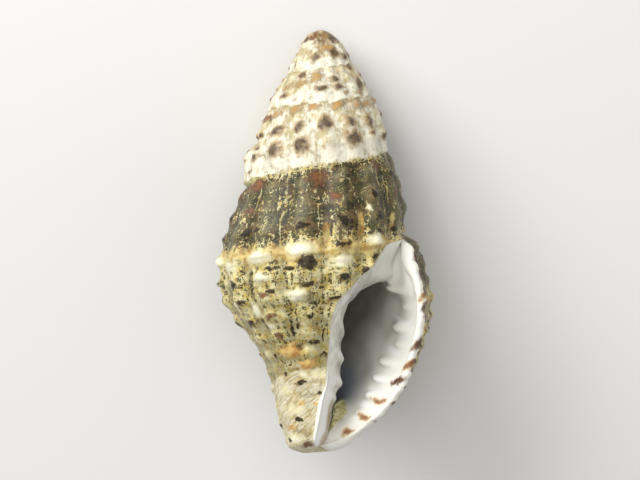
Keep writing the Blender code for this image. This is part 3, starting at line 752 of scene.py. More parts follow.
# The marks on the skin, by kind. Each is turn, share, half its width and half its height in
# units. Marks of the same kind that touch run into one.
marks = {
    "dark": [
        (-1.600, 0.105, 0.26, 0.20), (-1.590, 0.128, 0.16, 0.20), (-0.646, 0.200, 0.61, 0.34),
        (-0.669, 0.194, 0.47, 0.26), (-0.757, 0.199, 0.65, 0.23), (-0.834, 0.192, 0.79, 0.38),
        (-0.829, 0.275, 0.58, 0.26), (-0.904, 0.112, 0.50, 0.38), (-0.910, 0.195, 0.57, 0.42),
        (-0.913, 0.247, 0.32, 0.23), (-0.767, 0.331, 0.65, 0.42), (-0.832, 0.396, 0.43, 0.23),
        (-0.893, 0.329, 0.38, 0.19), (-0.876, 0.376, 0.44, 0.19), (-0.612, 0.394, 0.42, 0.26),
        (-0.818, 0.466, 0.46, 0.19), (-0.622, 0.462, 0.40, 0.26), (-0.621, 0.538, 0.36, 0.23),
        (-0.766, 0.411, 0.53, 0.19), (-0.770, 0.619, 0.34, 0.19), (-0.802, 0.666, 0.26, 0.19),
        (-0.795, 0.594, 0.11, 0.45), (-0.663, 0.731, 0.26, 0.19), (-0.714, 0.763, 0.50, 0.17),
        (-0.782, 0.810, 0.23, 0.15), (-0.691, 0.898, 0.28, 0.13), (-0.615, 0.957, 0.33, 0.19),
        (-0.640, 0.660, 0.22, 0.16), (-0.690, 0.700, 0.20, 0.14), (-0.740, 0.560, 0.20, 0.22),
        (-0.722, 0.575, 0.14, 0.30), (-0.770, 0.530, 0.16, 0.20), (-0.700, 0.430, 0.30, 0.14),
        (-0.735, 0.350, 0.36, 0.14), (-0.700, 0.345, 0.34, 0.14), (-1.662, 0.098, 0.65, 0.26),
        (-1.729, 0.095, 0.37, 0.34), (-1.797, 0.093, 0.49, 0.42), (-1.867, 0.093, 0.39, 0.34),
        (-1.932, 0.107, 0.50, 0.34), (-1.994, 0.194, 0.45, 0.26), (-1.672, 0.177, 0.61, 0.45),
        (-1.743, 0.170, 0.59, 0.49), (-1.873, 0.174, 0.57, 0.49), (-1.936, 0.160, 0.31, 0.19),
        (-1.596, 0.189, 0.60, 0.22), (-1.575, 0.235, 0.34, 0.10), (-1.600, 0.150, 0.40, 0.10),
        (-2.782, 0.165, 0.42, 0.19), (-2.847, 0.162, 0.36, 0.23), (-2.840, 0.098, 0.36, 0.19),
        (-2.690, 0.032, 0.37, 0.19), (-2.647, 0.189, 0.48, 0.19), (-2.958, 0.159, 0.31, 0.38),
        (-3.747, 0.134, 0.31, 0.26), (-3.882, 0.117, 0.36, 0.30), (-3.952, 0.179, 0.29, 0.23),
        (-2.944, 0.017, 0.40, 0.15), (-4.617, 0.149, 0.40, 0.19), (-0.975, 0.060, 0.34, 0.24),
        (-0.960, 0.250, 0.30, 0.22), (-1.545, 0.150, 0.28, 0.12), (-1.535, 0.175, 0.12, 0.30),
        (-1.550, 0.192, 0.24, 0.10),
    ],
    "red": [
        (-0.785, 0.032, 0.64, 0.60), (-0.631, 0.023, 0.80, 0.45), (-0.638, 0.117, 0.40, 0.20),
        (-0.821, 0.105, 0.38, 0.30), (-0.978, 0.122, 0.40, 0.34), (-0.935, 0.020, 0.44, 0.36),
        (-0.685, 0.441, 0.52, 0.19), (-0.687, 0.519, 0.55, 0.19), (-0.687, 0.588, 0.34, 0.23),
        (-0.731, 0.633, 0.24, 0.21), (-0.810, 0.470, 0.30, 0.18), (-1.589, 0.037, 0.55, 0.26),
        (-3.630, 0.187, 0.21, 0.19), (-4.703, 0.102, 0.35, 0.30), (-0.695, 0.975, 0.40, 0.17),
    ],
    "white": [
        (-0.679, 0.302, 1.03, 0.46), (-0.754, 0.285, 0.93, 0.49), (-0.828, 0.336, 0.78, 0.42),
        (-0.897, 0.274, 0.58, 0.34), (-0.601, 0.319, 1.10, 0.42), (-0.683, 0.374, 0.62, 0.27),
        (-0.651, 0.489, 0.42, 0.57), (-0.672, 0.553, 0.33, 0.24), (-0.746, 0.445, 0.74, 0.42),
        (-0.732, 0.740, 0.36, 0.17), (-0.644, 0.957, 0.61, 0.34), (-0.886, 0.162, 0.16, 0.26),
        (-0.600, 0.470, 0.30, 0.40),
    ],
    "orange": [
        (-0.704, 0.648, 0.82, 0.48), (-0.746, 0.698, 0.55, 0.38), (-0.709, 0.840, 0.34, 0.13),
        (-0.767, 0.845, 0.23, 0.13), (-0.639, 0.922, 0.45, 0.20), (-0.770, 0.975, 0.40, 0.20),
        (-1.637, 0.025, 0.50, 0.30), (-1.706, 0.018, 0.44, 0.30), (-1.763, 0.013, 0.44, 0.32),
        (-1.835, 0.015, 0.51, 0.28), (-1.902, 0.025, 0.40, 0.30), (-1.953, 0.027, 0.37, 0.23),
        (-2.699, 0.107, 0.40, 0.23), (-2.641, 0.122, 0.45, 0.23), (-2.763, 0.060, 0.60, 0.38),
        (-2.936, 0.240, 0.34, 0.21), (-2.876, 0.224, 0.22, 0.19), (-3.815, 0.025, 0.61, 0.36),
        (-4.815, 0.137, 0.34, 0.26),
    ],
    "grey": [
        (-0.699, 0.486, 0.50, 0.36), (-0.767, 0.469, 0.40, 0.26), (-0.735, 0.816, 0.60, 0.16),
        (-0.690, 0.937, 0.51, 0.15), (-0.717, 0.947, 0.38, 0.15), (-0.735, 0.790, 0.50, 0.12),
        (-0.745, 0.765, 0.40, 0.12), (-0.760, 0.150, 0.80, 0.30), (-0.700, 0.180, 0.40, 0.50),
        (-0.620, 0.500, 0.40, 0.40),
    ],
    "ochre": [
        (-0.782, 0.277, 0.75, 0.45), (-0.651, 0.292, 0.41, 0.83), (-0.715, 0.290, 0.60, 0.55),
        (-0.800, 0.240, 0.30, 1.00), (-0.868, 0.220, 0.30, 1.20), (-0.950, 0.230, 0.30, 0.80),
        (-0.727, 0.720, 0.60, 0.60), (-0.800, 0.890, 0.30, 0.90),
    ],
    "cream": [
        (-0.782, 0.733, 0.53, 0.34), (-0.727, 0.708, 0.49, 0.30), (-0.681, 0.861, 0.80, 0.30),
        (-0.649, 0.791, 0.50, 0.30),
    ],
    # the rows of beads on the sides and back of the last turn and of the spire: kind, share,
    # chance, half width, half height
    "beadRows": [
        ("red", 0.035, 0.50, 0.45, 0.36), ("dark", 0.118, 0.55, 0.42, 0.32),
        ("dark", 0.200, 0.85, 0.58, 0.30), ("white", 0.300, 0.85, 0.85, 0.42),
        ("dark", 0.385, 0.45, 0.40, 0.24), ("red", 0.452, 0.50, 0.42, 0.20),
        ("white", 0.485, 0.40, 0.45, 0.40), ("dark", 0.525, 0.50, 0.34, 0.22),
        ("red", 0.590, 0.40, 0.34, 0.20), ("white", 0.560, 0.35, 0.34, 0.26),
        ("dark", 0.655, 0.45, 0.30, 0.18), ("orange", 0.690, 0.40, 0.45, 0.28),
        ("dark", 0.785, 0.45, 0.36, 0.14), ("grey", 0.820, 0.55, 0.50, 0.15),
        ("orange", 0.850, 0.35, 0.30, 0.14), ("dark", 0.915, 0.45, 0.26, 0.14),
    ],
    "spireRows": [
        ("orange", 0.028, 0.85, 0.42, 0.28), ("dark", 0.098, 0.85, 0.42, 0.30),
        ("dark", 0.176, 0.80, 0.50, 0.42),
    ],
    "sides": (-0.585, 0.05),    # between which turns the rows of beads are marked
    "stray": (0.010, 0.012, 0.3),   # how far such marks stray in turn, in share and in size
    "spireUnseen": 0.12,        # how far forward the spire's rows of beads are marked
    "spireEnds": -1.45,         # the last turn where they are
    "spireShift": 0.247,        # ribs that bring such marks onto the crests
    "edge": (0.17, 0.13, 0.50),     # how ragged marks are along and down, and their bends' size
}


# Every mark of a kind: the listed ones, and for the sides and back a mark by seeded chance on
# each bead of the rows
def allMarks(kind):
    found = list(marks[kind])
    draw = np.random.default_rng(41)
    first, last = marks["sides"]
    along, down, vary = marks["stray"]
    for name, share, chance, wide, tall in marks["beadRows"]:
        for rib in range(16):
            turn = sculpture["ribAt"] + rib / sculpture["ribsLast"]
            pick, sway = draw.random(), draw.uniform(-1.0, 1.0, 3)
            if name == kind and pick < chance and first < turn < last:
                found.append((turn + along * sway[0], share + down * sway[1],
                              wide * (1.0 + vary * sway[2]), tall * (1.0 + vary * sway[1])))
    for name, share, chance, wide, tall in marks["spireRows"]:
        lean = float(curveThrough(share, sculpture["ribLean"]))
        for rib in range(64):
            ribs = rib - 66 - lean + marks["spireShift"]
            turn = sculpture["ribChange"] + ribs / sculpture["ribsSpire"]
            pick, sway = draw.random(), draw.uniform(-1.0, 1.0, 3)
            unseen = math.sin(angleAt(turn)) < marks["spireUnseen"]
            if name == kind and pick < chance and unseen and turn < marks["spireEnds"]:
                size = 0.2 + 0.8 * (float(seamAt(turn)[1]) / 5.0)
                found.append((turn, share, wide * size * (1.0 + vary * sway[0]),
                              tall * size * (1.0 + vary * sway[1])))
    return found


# How strongly a kind of mark covers each node: 1 in a mark's middle, a half at its edge, none
# at twice its size, by the distance along and down the turn
def covered(kind, turn, share):
    cover = np.zeros_like(turn)
    point = around(*plainSkin(turn, share), angleAt(turn))
    swaying, sinking, bend = marks["edge"]
    sway, sink = swaying * lumps(point, bend, seed=61), sinking * lumps(point, bend, seed=62)
    for at, down, wide, tall in allMarks(kind):
        radius, depth = plainSkin(at, down)
        below = plainSkin(at, down + 0.01)[1]
        near = np.abs(turn - at) < 0.12
        away = np.hypot(((turn[near] - at) * 2.0 * math.pi * radius + sway[near]) / wide,
                        ((share[near] - down) * (below - depth) / 0.01 + sink[near]) / tall)
        cover[near] = np.maximum(cover[near], np.clip(1.0 - 0.5 * away, 0.0, 1.0))
    return cover


# The skin's grounds: the chalky spire, the dark coat, the ochre band and the neck
grounds = {
    "coatStarts": (-1.42, 0.24, 0.05),  # turn where the dark coat begins, how soon, how ragged
    # the coat over the spire's last seam: part of the way down, how soon, strength, from which
    # turn, how far it sways with the ribs and in patches
    "fringe": (0.93, 0.016, 0.85, -1.995, 0.006, 0.004),
    # share of height, how much of the coat is yellow
    "yellow": [(0.0, 0.36), (0.03, 0.07), (0.20, 0.07), (0.255, 0.34), (0.30, 0.60), (0.36, 0.52),
               (0.50, 0.58), (0.66, 0.76), (0.76, 0.68), (1.0, 0.52)],
    "patches": (0.10, 0.07),    # how much more or less of it there is, broadly and in patches
    # way down a turn of the spire, how stained it is
    "spireStain": [(0.0, 0.60), (0.10, 0.50), (0.45, 0.46), (0.72, 0.27), (0.90, 0.30),
                   (1.0, 0.50)],
    "ochreBand": (0.292, 0.040, 0.85, 0.012),   # share, half height, strength, sway
    "apexStain": (-4.45, 0.40, 0.72, 0.85, 0.60),   # turn, how soon, strength, dark, red
    "neck": (0.735, 0.07, 0.03),    # share where it starts, how soon, how ragged
    # The next two set the painted highlight on crests and the painted shade in dips and in the old
    # lip's crease
    "relief": (0.35, 0.10),     # heights that count as a full crest and a full dip
    "creaseShade": (1.3, 0.3),   # how dark the old lip's crease is, down to which share
}

# The rim of the outer lip. The way over the rim is 0 at its outer edge and 1 at its inner one.
rimPaint = {
    "perTurn": 60.0,            # ways over the rim in a turn before its outer edge
    "wayIn": 0.02,              # turns in from its inner edge that count as one way more
    # where the dark coat ends: depth, way over the rim
    "coatEnds": [(15.0, -0.4), (18.5, -0.4), (21.0, -0.5), (24.0, -0.28), (28.0, -0.10),
                 (31.0, -0.2)],
    "fade": 0.3,                # ways over which it does
    "depths": (15.8, 31.0, 0.6),    # between which depths there is a rim, and how soon
    "crust": (0.05, 0.5),       # where the yellow edge of the coat lies, and how wide it is
    "innerEdge": (0.8, 0.10),   # how far the pearl laps over the inner lip's ridge, how soon
    "spotsFrom": -1.5,          # nothing of the rim's paint reaches further out than this
    # depth, how much a spot leans over the rim for each unit down it
    "lean": [(20.0, 0.0), (24.0, 0.45), (27.0, 1.30), (31.0, 1.50)],
    # kind, depth, way over the rim, half height, half width of the way
    "spots": [
        ("dark", 17.2, -0.45, 0.70, 0.35), ("dark", 18.6, -0.40, 0.50, 0.35),
        ("dark", 19.6, -0.45, 0.30, 0.30), ("red", 20.0, 0.0, 0.26, 0.45),
        ("dark", 20.80, -0.3, 0.42, 0.45), ("dark", 21.65, -0.3, 0.30, 0.40),
        ("red", 22.55, -0.5, 0.20, 0.35), ("dark", 23.60, 0.0, 0.34, 0.55),
        ("dark", 24.30, -0.4, 0.15, 0.30), ("red", 25.00, 0.5, 0.40, 0.55),
        ("dark", 24.95, -0.1, 0.20, 0.40), ("dark", 25.70, -0.3, 0.16, 0.35),
        ("dark", 25.95, 0.9, 0.40, 0.40), ("dark", 27.00, -0.3, 0.16, 0.35),
        ("red", 27.30, 1.60, 0.52, 0.40), ("dark", 28.20, -0.3, 0.20, 0.35),
        ("red", 28.75, 1.70, 0.52, 0.42), ("dark", 29.6, -0.3, 0.18, 0.30),
        ("red", 30.10, 1.60, 0.40, 0.46),
    ],
}

spotKinds = ("dark", "red", "white", "orange")


# The paint of the outside, each layer four numbers a node: grounds (spire, yellow, ochre,
# neck), spots (the spot kinds), relief (crest, dip, grey, cream), mouth (the rim's pearl and,
# third, its crust); winding is the way round and the depth, in units
def outsidePaint(turn, share):
    point = around(*plainSkin(turn, share), angleAt(turn))
    broad, patch = lumps(point, 2.4, seed=51), lumps(point, 1.1, seed=52)
    depth, down = plainSkin(turn, share)[1], share / shellForm["lipShare"]

    first, soon, ragged = grounds["coatStarts"]
    spire = 1.0 - ease((turn - first + ragged * patch) / soon)
    start, soon, strong, first, sway, stray = grounds["fringe"]
    wave = sway * np.sin(2.0 * math.pi * ribCount(turn + 1.0, 0.0 * share)) + stray * patch
    fringe = ease((share + wave - start * shellForm["lipShare"]) / soon) * (turn > first)
    spire = spire * (1.0 - strong * fringe * (turn < -1.0))
    broadly, patchy = grounds["patches"]
    yellow = curveThrough(share, grounds["yellow"]) + broadly * broad + patchy * patch
    stained = curveThrough(down, grounds["spireStain"]) + broadly * broad
    yellow = yellow + (stained - yellow) * spire
    band, tall, strong, sway = grounds["ochreBand"]
    drop = sway * np.sin(2.0 * math.pi * ribCount(turn, share))
    ochre = strong * bell((share - band - drop) / tall) * (0.75 + 0.35 * broad)
    ochre = np.maximum(ochre * (turn > -1.05), covered("ochre", turn, share))
    start, soon, ragged = grounds["neck"]
    neck = ease((share + ragged * broad - start) / soon + 0.5)

    # Crest and dip: a painted highlight on the sculpture's crests and painted shade in its dips;
    # the old lip's crease is darkened as painted shade by counting it as a dip
    height, size = sculptureHeight(turn, share), sizeAt(turn, 0.15)
    fullCrest, fullDip = grounds["relief"]
    crest = np.clip(height / (fullCrest * size), 0.0, 1.0)
    dip = np.clip(-height / (fullDip * size), 0.0, 1.0)
    strong, end = grounds["creaseShade"]
    dip = np.maximum(dip, strong * creaseAt(turn, down) * (share < end))

    over = (turn - lipTurn(share)) * rimPaint["perTurn"]
    pearlFrom = curveThrough(depth, rimPaint["coatEnds"])
    top, foot, soon = rimPaint["depths"]
    lip = ease((over - pearlFrom) / rimPaint["fade"])
    lip = lip * ease((foot - depth) / soon) * ease((depth - top) / soon)
    way, run = fromEdge(turn, share)
    beside = (turn > -1.01) * (run > -0.3) * (way > 0.02)
    lap, soon = rimPaint["innerEdge"]
    ridge = curveThrough(way, openingForm["ridge"])
    lip = np.maximum(lip, ease((ridge * lap - run) / soon) * beside)
    start, wide = rimPaint["crust"]
    crust = np.clip(1.0 - (over - pearlFrom - start) / wide, 0.0, 1.0)

    spots = np.stack([covered(kind, turn, share) for kind in spotKinds], axis=-1)
    spots = spots * (1.0 - lip)[..., None]
    start, soon, strong, *shades = grounds["apexStain"]
    stain = strong * ease((start - turn) / soon) * (0.75 + 0.4 * lumps(point, 0.7, seed=53))
    for number, shade in enumerate(shades):
        spots[..., number] = np.maximum(spots[..., number], np.clip(shade * stain, 0.0, 1.0))
    none = 0.0 * lip
    return {
        "grounds": np.stack([spire, np.clip(yellow, 0.0, 1.0), np.clip(ochre, 0.0, 1.0), neck],
                            axis=-1),
        "spots": np.maximum(spots, lipSpots(over, depth)),
        "relief": np.stack([crest, dip, covered("grey", turn, share),
                            covered("cream", turn, share)], axis=-1),
        "mouth": np.stack([lip, none, crust * (over > rimPaint["spotsFrom"]), none], axis=-1),
        "winding": np.stack([turn * unitsRound, depth], axis=-1),
    }


# Spots round the lip's rim: 1 in the middle and none at twice their size, by the way over the
# rim and by depth
def lipSpots(over, depth):
    spots = np.zeros(over.shape + (len(spotKinds),))
    for kind, at, middle, tall, wide in rimPaint["spots"]:
        lean = curveThrough(at, rimPaint["lean"]) * (depth - at)
        away = np.hypot((depth - at) / tall, (over - middle + lean) / wide)
        cover = np.clip(1.0 - 0.5 * away, 0.0, 1.0) * (over > rimPaint["spotsFrom"])
        layer = spotKinds.index(kind)
        spots[..., layer] = np.maximum(spots[..., layer], cover)
    return spots


# How the inside's paint follows its shape
insideLook = {
    "dirtFull": 0.25,           # heights at which dirt, teeth and knobs have their full colour
    "toothFull": 0.45,
    "knobFull": 0.16,
    # the inner lip's white edge: part of the face, how soon, the ridge's height where it is
    # full, the least of it
    "edge": (0.32, 0.2, 0.25, 0.2),
    # its duller face: part, how soon, way along the lip, how soon
    "band": (1.3, 0.5, 0.12, 0.2),
    # its stain: strength, part, how soon, depth, how soon
    "stain": (0.75, 1.2, 0.5, 26.8, 2.0),
    "deep": 0.3,                # turns in from the lip that count as deep inside
    "dirtYellow": 0.6,          # the ground under the dirt
}


# The paint inside: spots, mouth (inside, how deep, the rim's crust, dirt), relief (the white of
# teeth, knobs and edge, and, third, the inner lip's duller face), and its stain as orange
def insidePaint():
    down = rowShares()
    up = np.linspace(1.0, 0.0, meshSteps["lastRows"] + 1)[1:-1]
    rim = meshSteps["rimRings"]
    backs = np.concatenate([np.zeros(rim), ringBacks()])
    over = np.concatenate([np.arange(rim) / rim, 1.0 + backs[rim:] / rimPaint["wayIn"]])
    share = np.concatenate([down, boreShare(up)])
    top = float(seamAt(0.0)[0])
    depth = top + share * (shellForm["tipDepth"] - top)
    outer = np.concatenate([np.ones(len(down)), np.zeros(len(up))])
    backs, depths = np.meshgrid(backs, depth, indexing="ij")
    over = np.repeat(over[:, None], len(depth), axis=1)
    spots = lipSpots(over, depths) * outer[..., None]
    inner = 1.0 - outer
    shares = np.broadcast_to(share, backs.shape)
    dirt = np.clip(dirtHeight(backs, depths) / insideLook["dirtFull"], 0.0, 1.0) * outer
    teeth = np.clip(toothHeight(backs, depths) / insideLook["toothFull"], 0.0, 1.0) * outer
    knobs = np.clip(knobHeight(backs, shares) / insideLook["knobFull"], 0.0, 1.0) * inner
    ways = np.concatenate([np.zeros(len(down)), up])
    part = backs / np.concatenate([np.ones(len(down)), curveThrough(up, openingForm["faceTurn"])])
    end, soon, full, least = insideLook["edge"]
    edge = ease((end - part) / soon) * inner
    edge = edge * np.clip(curveThrough(ways, openingForm["ridge"]) / full, least, 1.0)
    end, soon, first, opening = insideLook["band"]
    band = inner * ease((end - part) / soon) * ease((ways - first) / opening)
    strong, end, soon, top, opening = insideLook["stain"]
    spots[..., 3] = strong * inner * ease((end - part) / soon) * ease((depths - top) / opening)
    ones = np.ones_like(backs)
    none = 0.0 * ones
    deep = np.clip(backs / insideLook["deep"], 0.0, 1.0)
    return {
        "grounds": np.stack([none, insideLook["dirtYellow"] * ones, none, none], axis=-1),
        "spots": spots,
        "relief": np.stack([np.maximum(np.maximum(teeth, knobs), edge), none, band, none],
                           axis=-1),
        "mouth": np.stack([ones, deep, none, dirt], axis=-1),
        "winding": np.stack([backs * 2.0 * math.pi * 5.0, depths], axis=-1),
    }


turns, places = windingGrid()
points, faces, corners = buildShell(turns, places)
mesh = bpy.data.meshes.new("shellSurface")
mesh.from_pydata(toMetres(points).tolist(), [], faces)
mesh.shade_smooth()
shell = bpy.data.objects.new("shellSurface", mesh)
bpy.context.scene.collection.objects.link(shell)
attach(shell, "root")
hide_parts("shell")
print("shell built:", len(points), "points,", len(faces), "faces")

outsideLayers, insideLayers = outsidePaint(turns, places), insidePaint()


# A layer's numbers for each corner of each face, outside and inside together
def cornerValues(name):
    both = [layers[name] for layers in (outsideLayers, insideLayers)]
    nodes = np.concatenate([layer.reshape(-1, layer.shape[-1]) for layer in both])
    return nodes[corners].astype(np.float32).ravel()


for name in ("grounds", "spots", "relief", "mouth"):
    layer = mesh.attributes.new(name, "FLOAT_COLOR", "CORNER")
    layer.data.foreach_set("color", cornerValues(name))
mesh.uv_layers.new(name="winding").data.foreach_set("uv", cornerValues("winding"))
print("paint laid")

# The skin's colours as they show on a screen, 0 to 255, and its surface
skinLook = {
    "coatDark": (32, 30, 18), "coatBrown": (84, 62, 38), "coatGrey": (54, 54, 34),
    "coatLight": (106, 98, 58), "coatLine": (124, 114, 68),
    "yellowPale": (222, 214, 164), "yellowDeep": (208, 182, 96),
    "ochre": (172, 132, 60), "ochrePale": (216, 192, 118),
    # the spire's grey below is painted shade for its dips and crease
    "spire": (230, 225, 204), "spireStain": (178, 162, 114), "spireDipShade": (148, 142, 118),
    "neck": (230, 222, 192), "neckStain": (200, 180, 126), "neckGrey": (158, 150, 122),
    "dark": (26, 20, 14), "darkSoft": (98, 76, 54), "halo": (170, 138, 92),
    "red": (138, 88, 52), "redDeep": (90, 56, 36), "white": (240, 235, 206),
    "orange": (192, 132, 58), "orangePale": (224, 188, 110), "orangeSpire": (172, 130, 66),
    "orangeRing": (124, 96, 64),
    "grey": (112, 114, 88), "cream": (240, 230, 184),
    # the pearl's deep and blue tones are painted shade for deeper inside the bore
    "pearl": (240, 238, 228), "pearlShade": (140, 138, 130), "pearlBrown": (114, 105, 84),
    "pearlBlueShade": (116, 120, 126), "bandStain": (178, 146, 112),
    "tooth": (250, 250, 246), "band": (192, 187, 170), "lipBrown": (132, 84, 46),
    "rimYellow": (214, 192, 124), "dirt": (150, 146, 84), "dirtPale": (206, 202, 160),
    "coatRough": 0.38, "spireRough": 0.55, "pearlRough": 0.26, "spotRough": 0.16,
    "roughVaries": 0.35,
    "specular": 0.30,
    "bump": 0.65, "bumpDepth": 0.12,    # strength, units
}

# How large the grains, cells and waves of the skin's patterns are, in units
patternSize = {
    "speck": 0.30, "fine": 0.13, "cloud": 1.3, "blotch": 0.5, "hue": 0.8,
    "streak": 0.30, "crossStreak": 0.24, "hatch": 0.20, "hatchFine": 0.10,
    "web": 0.72, "fineWeb": 0.34, "wander": 1.35, "pin": 0.55,
    "ladder": (0.62, 0.50), "ribs": 2.674,
    "yellowTone": 0.55, "ochreTone": 0.7, "pearlCloud": 2.6,
}

skin = bpy.data.materials.new("whelkSkin")
skin.use_nodes = True
tree = skin.node_tree


# A colour between 0 and 255 as shown, turned into light by the screen's own curve
def paintOf(name):
    shown = np.array(skinLook[name]) / 255.0
    light = np.where(shown <= 0.04045, shown / 12.92, ((shown + 0.055) / 1.055) ** 2.4)
    return (*light.tolist(), 1.0)


# Gives a socket a link or a plain value
def feed(socket, value):
    if isinstance(value, bpy.types.NodeSocket):
        tree.links.new(value, socket)
    else:
        socket.default_value = value


# One or two numbers reckoned together
def reckon(operation, first, second=0.0, clamp=False):
    node = tree.nodes.new("ShaderNodeMath")
    node.operation = operation
    node.use_clamp = clamp
    feed(node.inputs[0], first)
    feed(node.inputs[1], second)
    return node.outputs[0]


# Sum of two or more numbers
def added(*values):
    result = values[0]
    for value in values[1:]:
        result = reckon("ADD", result, value)
    return result


# Product of two numbers
def times(first, second):
    return reckon("MULTIPLY", first, second)


# A noise's swing about its middle, 0.5, times a strength
def swing(noise, strength):
    return times(reckon("SUBTRACT", noise, 0.5), strength)


# How far a noise is from its middle
def fromMiddle(noise):
    return reckon("ABSOLUTE", reckon("SUBTRACT", noise, 0.5))


# A line: 1 less the distance's place between thin and thick
def lineOf(distance, thin, thick):
    return reckon("SUBTRACT", 1.0, between(distance, thin, thick))


# The number's place between low and high, eased to run from 0 to 1
def between(value, low, high):
    node = tree.nodes.new("ShaderNodeMapRange")
    node.interpolation_type = "SMOOTHSTEP"
    feed(node.inputs["Value"], value)
    feed(node.inputs["From Min"], low)
    feed(node.inputs["From Max"], high)
    return node.outputs["Result"]


# From the first colour to the second as the factor runs from 0 to 1
def mixed(factor, first, second):
    node = tree.nodes.new("ShaderNodeMix")
    node.data_type = "RGBA"
    feed(node.inputs[0], factor)
    feed(node.inputs[6], paintOf(first) if isinstance(first, str) else first)
    feed(node.inputs[7], paintOf(second) if isinstance(second, str) else second)
    return node.outputs[2]


# Cloudy noise whose grains are the given size, with finer grains inside them
def grain(vector, size, detail=3.0, roughness=0.6, warp=0.0):
    node = tree.nodes.new("ShaderNodeTexNoise")
    feed(node.inputs["Vector"], vector)
    feed(node.inputs["Scale"], 1.0 / size)
    feed(node.inputs["Detail"], detail)
    feed(node.inputs["Roughness"], roughness)
    feed(node.inputs["Distortion"], warp)
    return node.outputs[0]


# Distance from the borders of crazed cells, or from their middles
def cells(vector, size, feature="DISTANCE_TO_EDGE"):
    node = tree.nodes.new("ShaderNodeTexVoronoi")
    node.feature = feature
    feed(node.inputs["Vector"], vector)
    feed(node.inputs["Scale"], 1.0 / size)
    return node.outputs["Distance"]


# The separate numbers of a vector
def partsOf(vector):
    node = tree.nodes.new("ShaderNodeSeparateXYZ")
    feed(node.inputs[0], vector)
    return node.outputs


# A vector with each axis scaled
def scaled(vector, scale):
    node = tree.nodes.new("ShaderNodeMapping")
    feed(node.inputs["Vector"], vector)
    node.inputs["Scale"].default_value = scale
    return node.outputs[0]


# A vector moved about by noise of the given size
def warped(vector, size, amount):
    node = tree.nodes.new("ShaderNodeTexNoise")
    feed(node.inputs["Vector"], vector)
    feed(node.inputs["Scale"], 1.0 / size)
    feed(node.inputs["Detail"], 2.0)
    shift = tree.nodes.new("ShaderNodeVectorMath")
    shift.operation = "MULTIPLY_ADD"
    feed(shift.inputs[0], node.outputs["Color"])
    shift.inputs[1].default_value = (amount, amount, amount)
    feed(shift.inputs[2], vector)
    return shift.outputs[0]


# The four numbers of a paint layer
def layerOf(name):
    node = tree.nodes.new("ShaderNodeAttribute")
    node.attribute_name = name
    parts = tree.nodes.new("ShaderNodeSeparateColor")
    tree.links.new(node.outputs["Color"], parts.inputs[0])
    return parts.outputs[0], parts.outputs[1], parts.outputs[2], node.outputs["Alpha"]


place = scaled(tree.nodes.new("ShaderNodeTexCoord").outputs["Object"], (1.0 / unit,) * 3)
windingNode = tree.nodes.new("ShaderNodeUVMap")
windingNode.uv_map = "winding"
winding = windingNode.outputs[0]
spire, yellow, ochre, neck = layerOf("grounds")
dark, red, white, orange = layerOf("spots")
crest, dip, grey, cream = layerOf("relief")
mouth, deep, rimCrust, dirt = layerOf("mouth")

# Noises: in space, and drawn out down (streak) and round (crossStreak) the winding
speck = grain(place, patternSize["speck"], 5.0, 0.72, 0.4)
fine = grain(place, patternSize["fine"], 3.0, 0.7)
cloud = grain(place, patternSize["cloud"], 3.0, 0.6)
blotch = grain(warped(place, 0.8, 0.4), patternSize["blotch"], 2.0, 0.5)
hue = grain(warped(place, 2.0, 1.0), patternSize["hue"], 3.0, 0.55)
streak = grain(scaled(warped(winding, 1.2, 0.35), (1.0, 0.22, 1.0)),
               patternSize["streak"], 3.0, 0.55)
crossStreak = grain(scaled(warped(winding, 1.0, 0.25), (0.30, 1.0, 1.0)),
                    patternSize["crossStreak"], 2.0, 0.5)
wander = grain(scaled(warped(winding, 1.4, 0.5), (1.0, 0.16, 1.0)),
               patternSize["wander"], 1.0, 0.4)

# Lines: crazed webs, a ladder of crossing waves, one line a rib, long ones and a broken net
web = lineOf(cells(warped(place, 0.7, 0.55), patternSize["web"]), 0.008, 0.055)
fineWeb = lineOf(cells(warped(place, 0.4, 0.3), patternSize["fineWeb"]), 0.02, 0.13)
bent = partsOf(warped(winding, 1.1, 0.42))
waves = [reckon("SINE", times(part, 2.0 * math.pi / size))
         for part, size in zip(bent, patternSize["ladder"])]
ladder = added(times(waves[0], 0.55), times(waves[1], 0.40), swing(speck, 1.8))
ladder = times(between(ladder, 0.05, 0.55), between(cloud, 0.40, 0.58))
wavy = partsOf(warped(warped(winding, 2.2, 1.3), 0.7, 0.45))[0]
ribPhase = reckon("FRACT", added(reckon("DIVIDE", wavy, patternSize["ribs"]), 10.30))
ribLine = lineOf(fromMiddle(ribPhase), 0.012, 0.040)
longLine = lineOf(fromMiddle(wander), 0.004, 0.022)
netLine = lineOf(reckon("MINIMUM", fromMiddle(streak), fromMiddle(crossStreak)), 0.006, 0.034)
netLine = times(netLine, between(speck, 0.36, 0.56))

# Scratches that slant down to the left
straight = partsOf(warped(winding, 1.6, 0.16))
slanting = tree.nodes.new("ShaderNodeCombineXYZ")
feed(slanting.inputs[0], reckon("SUBTRACT", straight[1], times(straight[0], 0.37)))
feed(slanting.inputs[1], times(straight[0], 0.10))
hatch = grain(slanting.outputs[0], patternSize["hatch"], 2.0, 0.6)
hatchFine = grain(slanting.outputs[0], patternSize["hatchFine"], 1.0, 0.5)

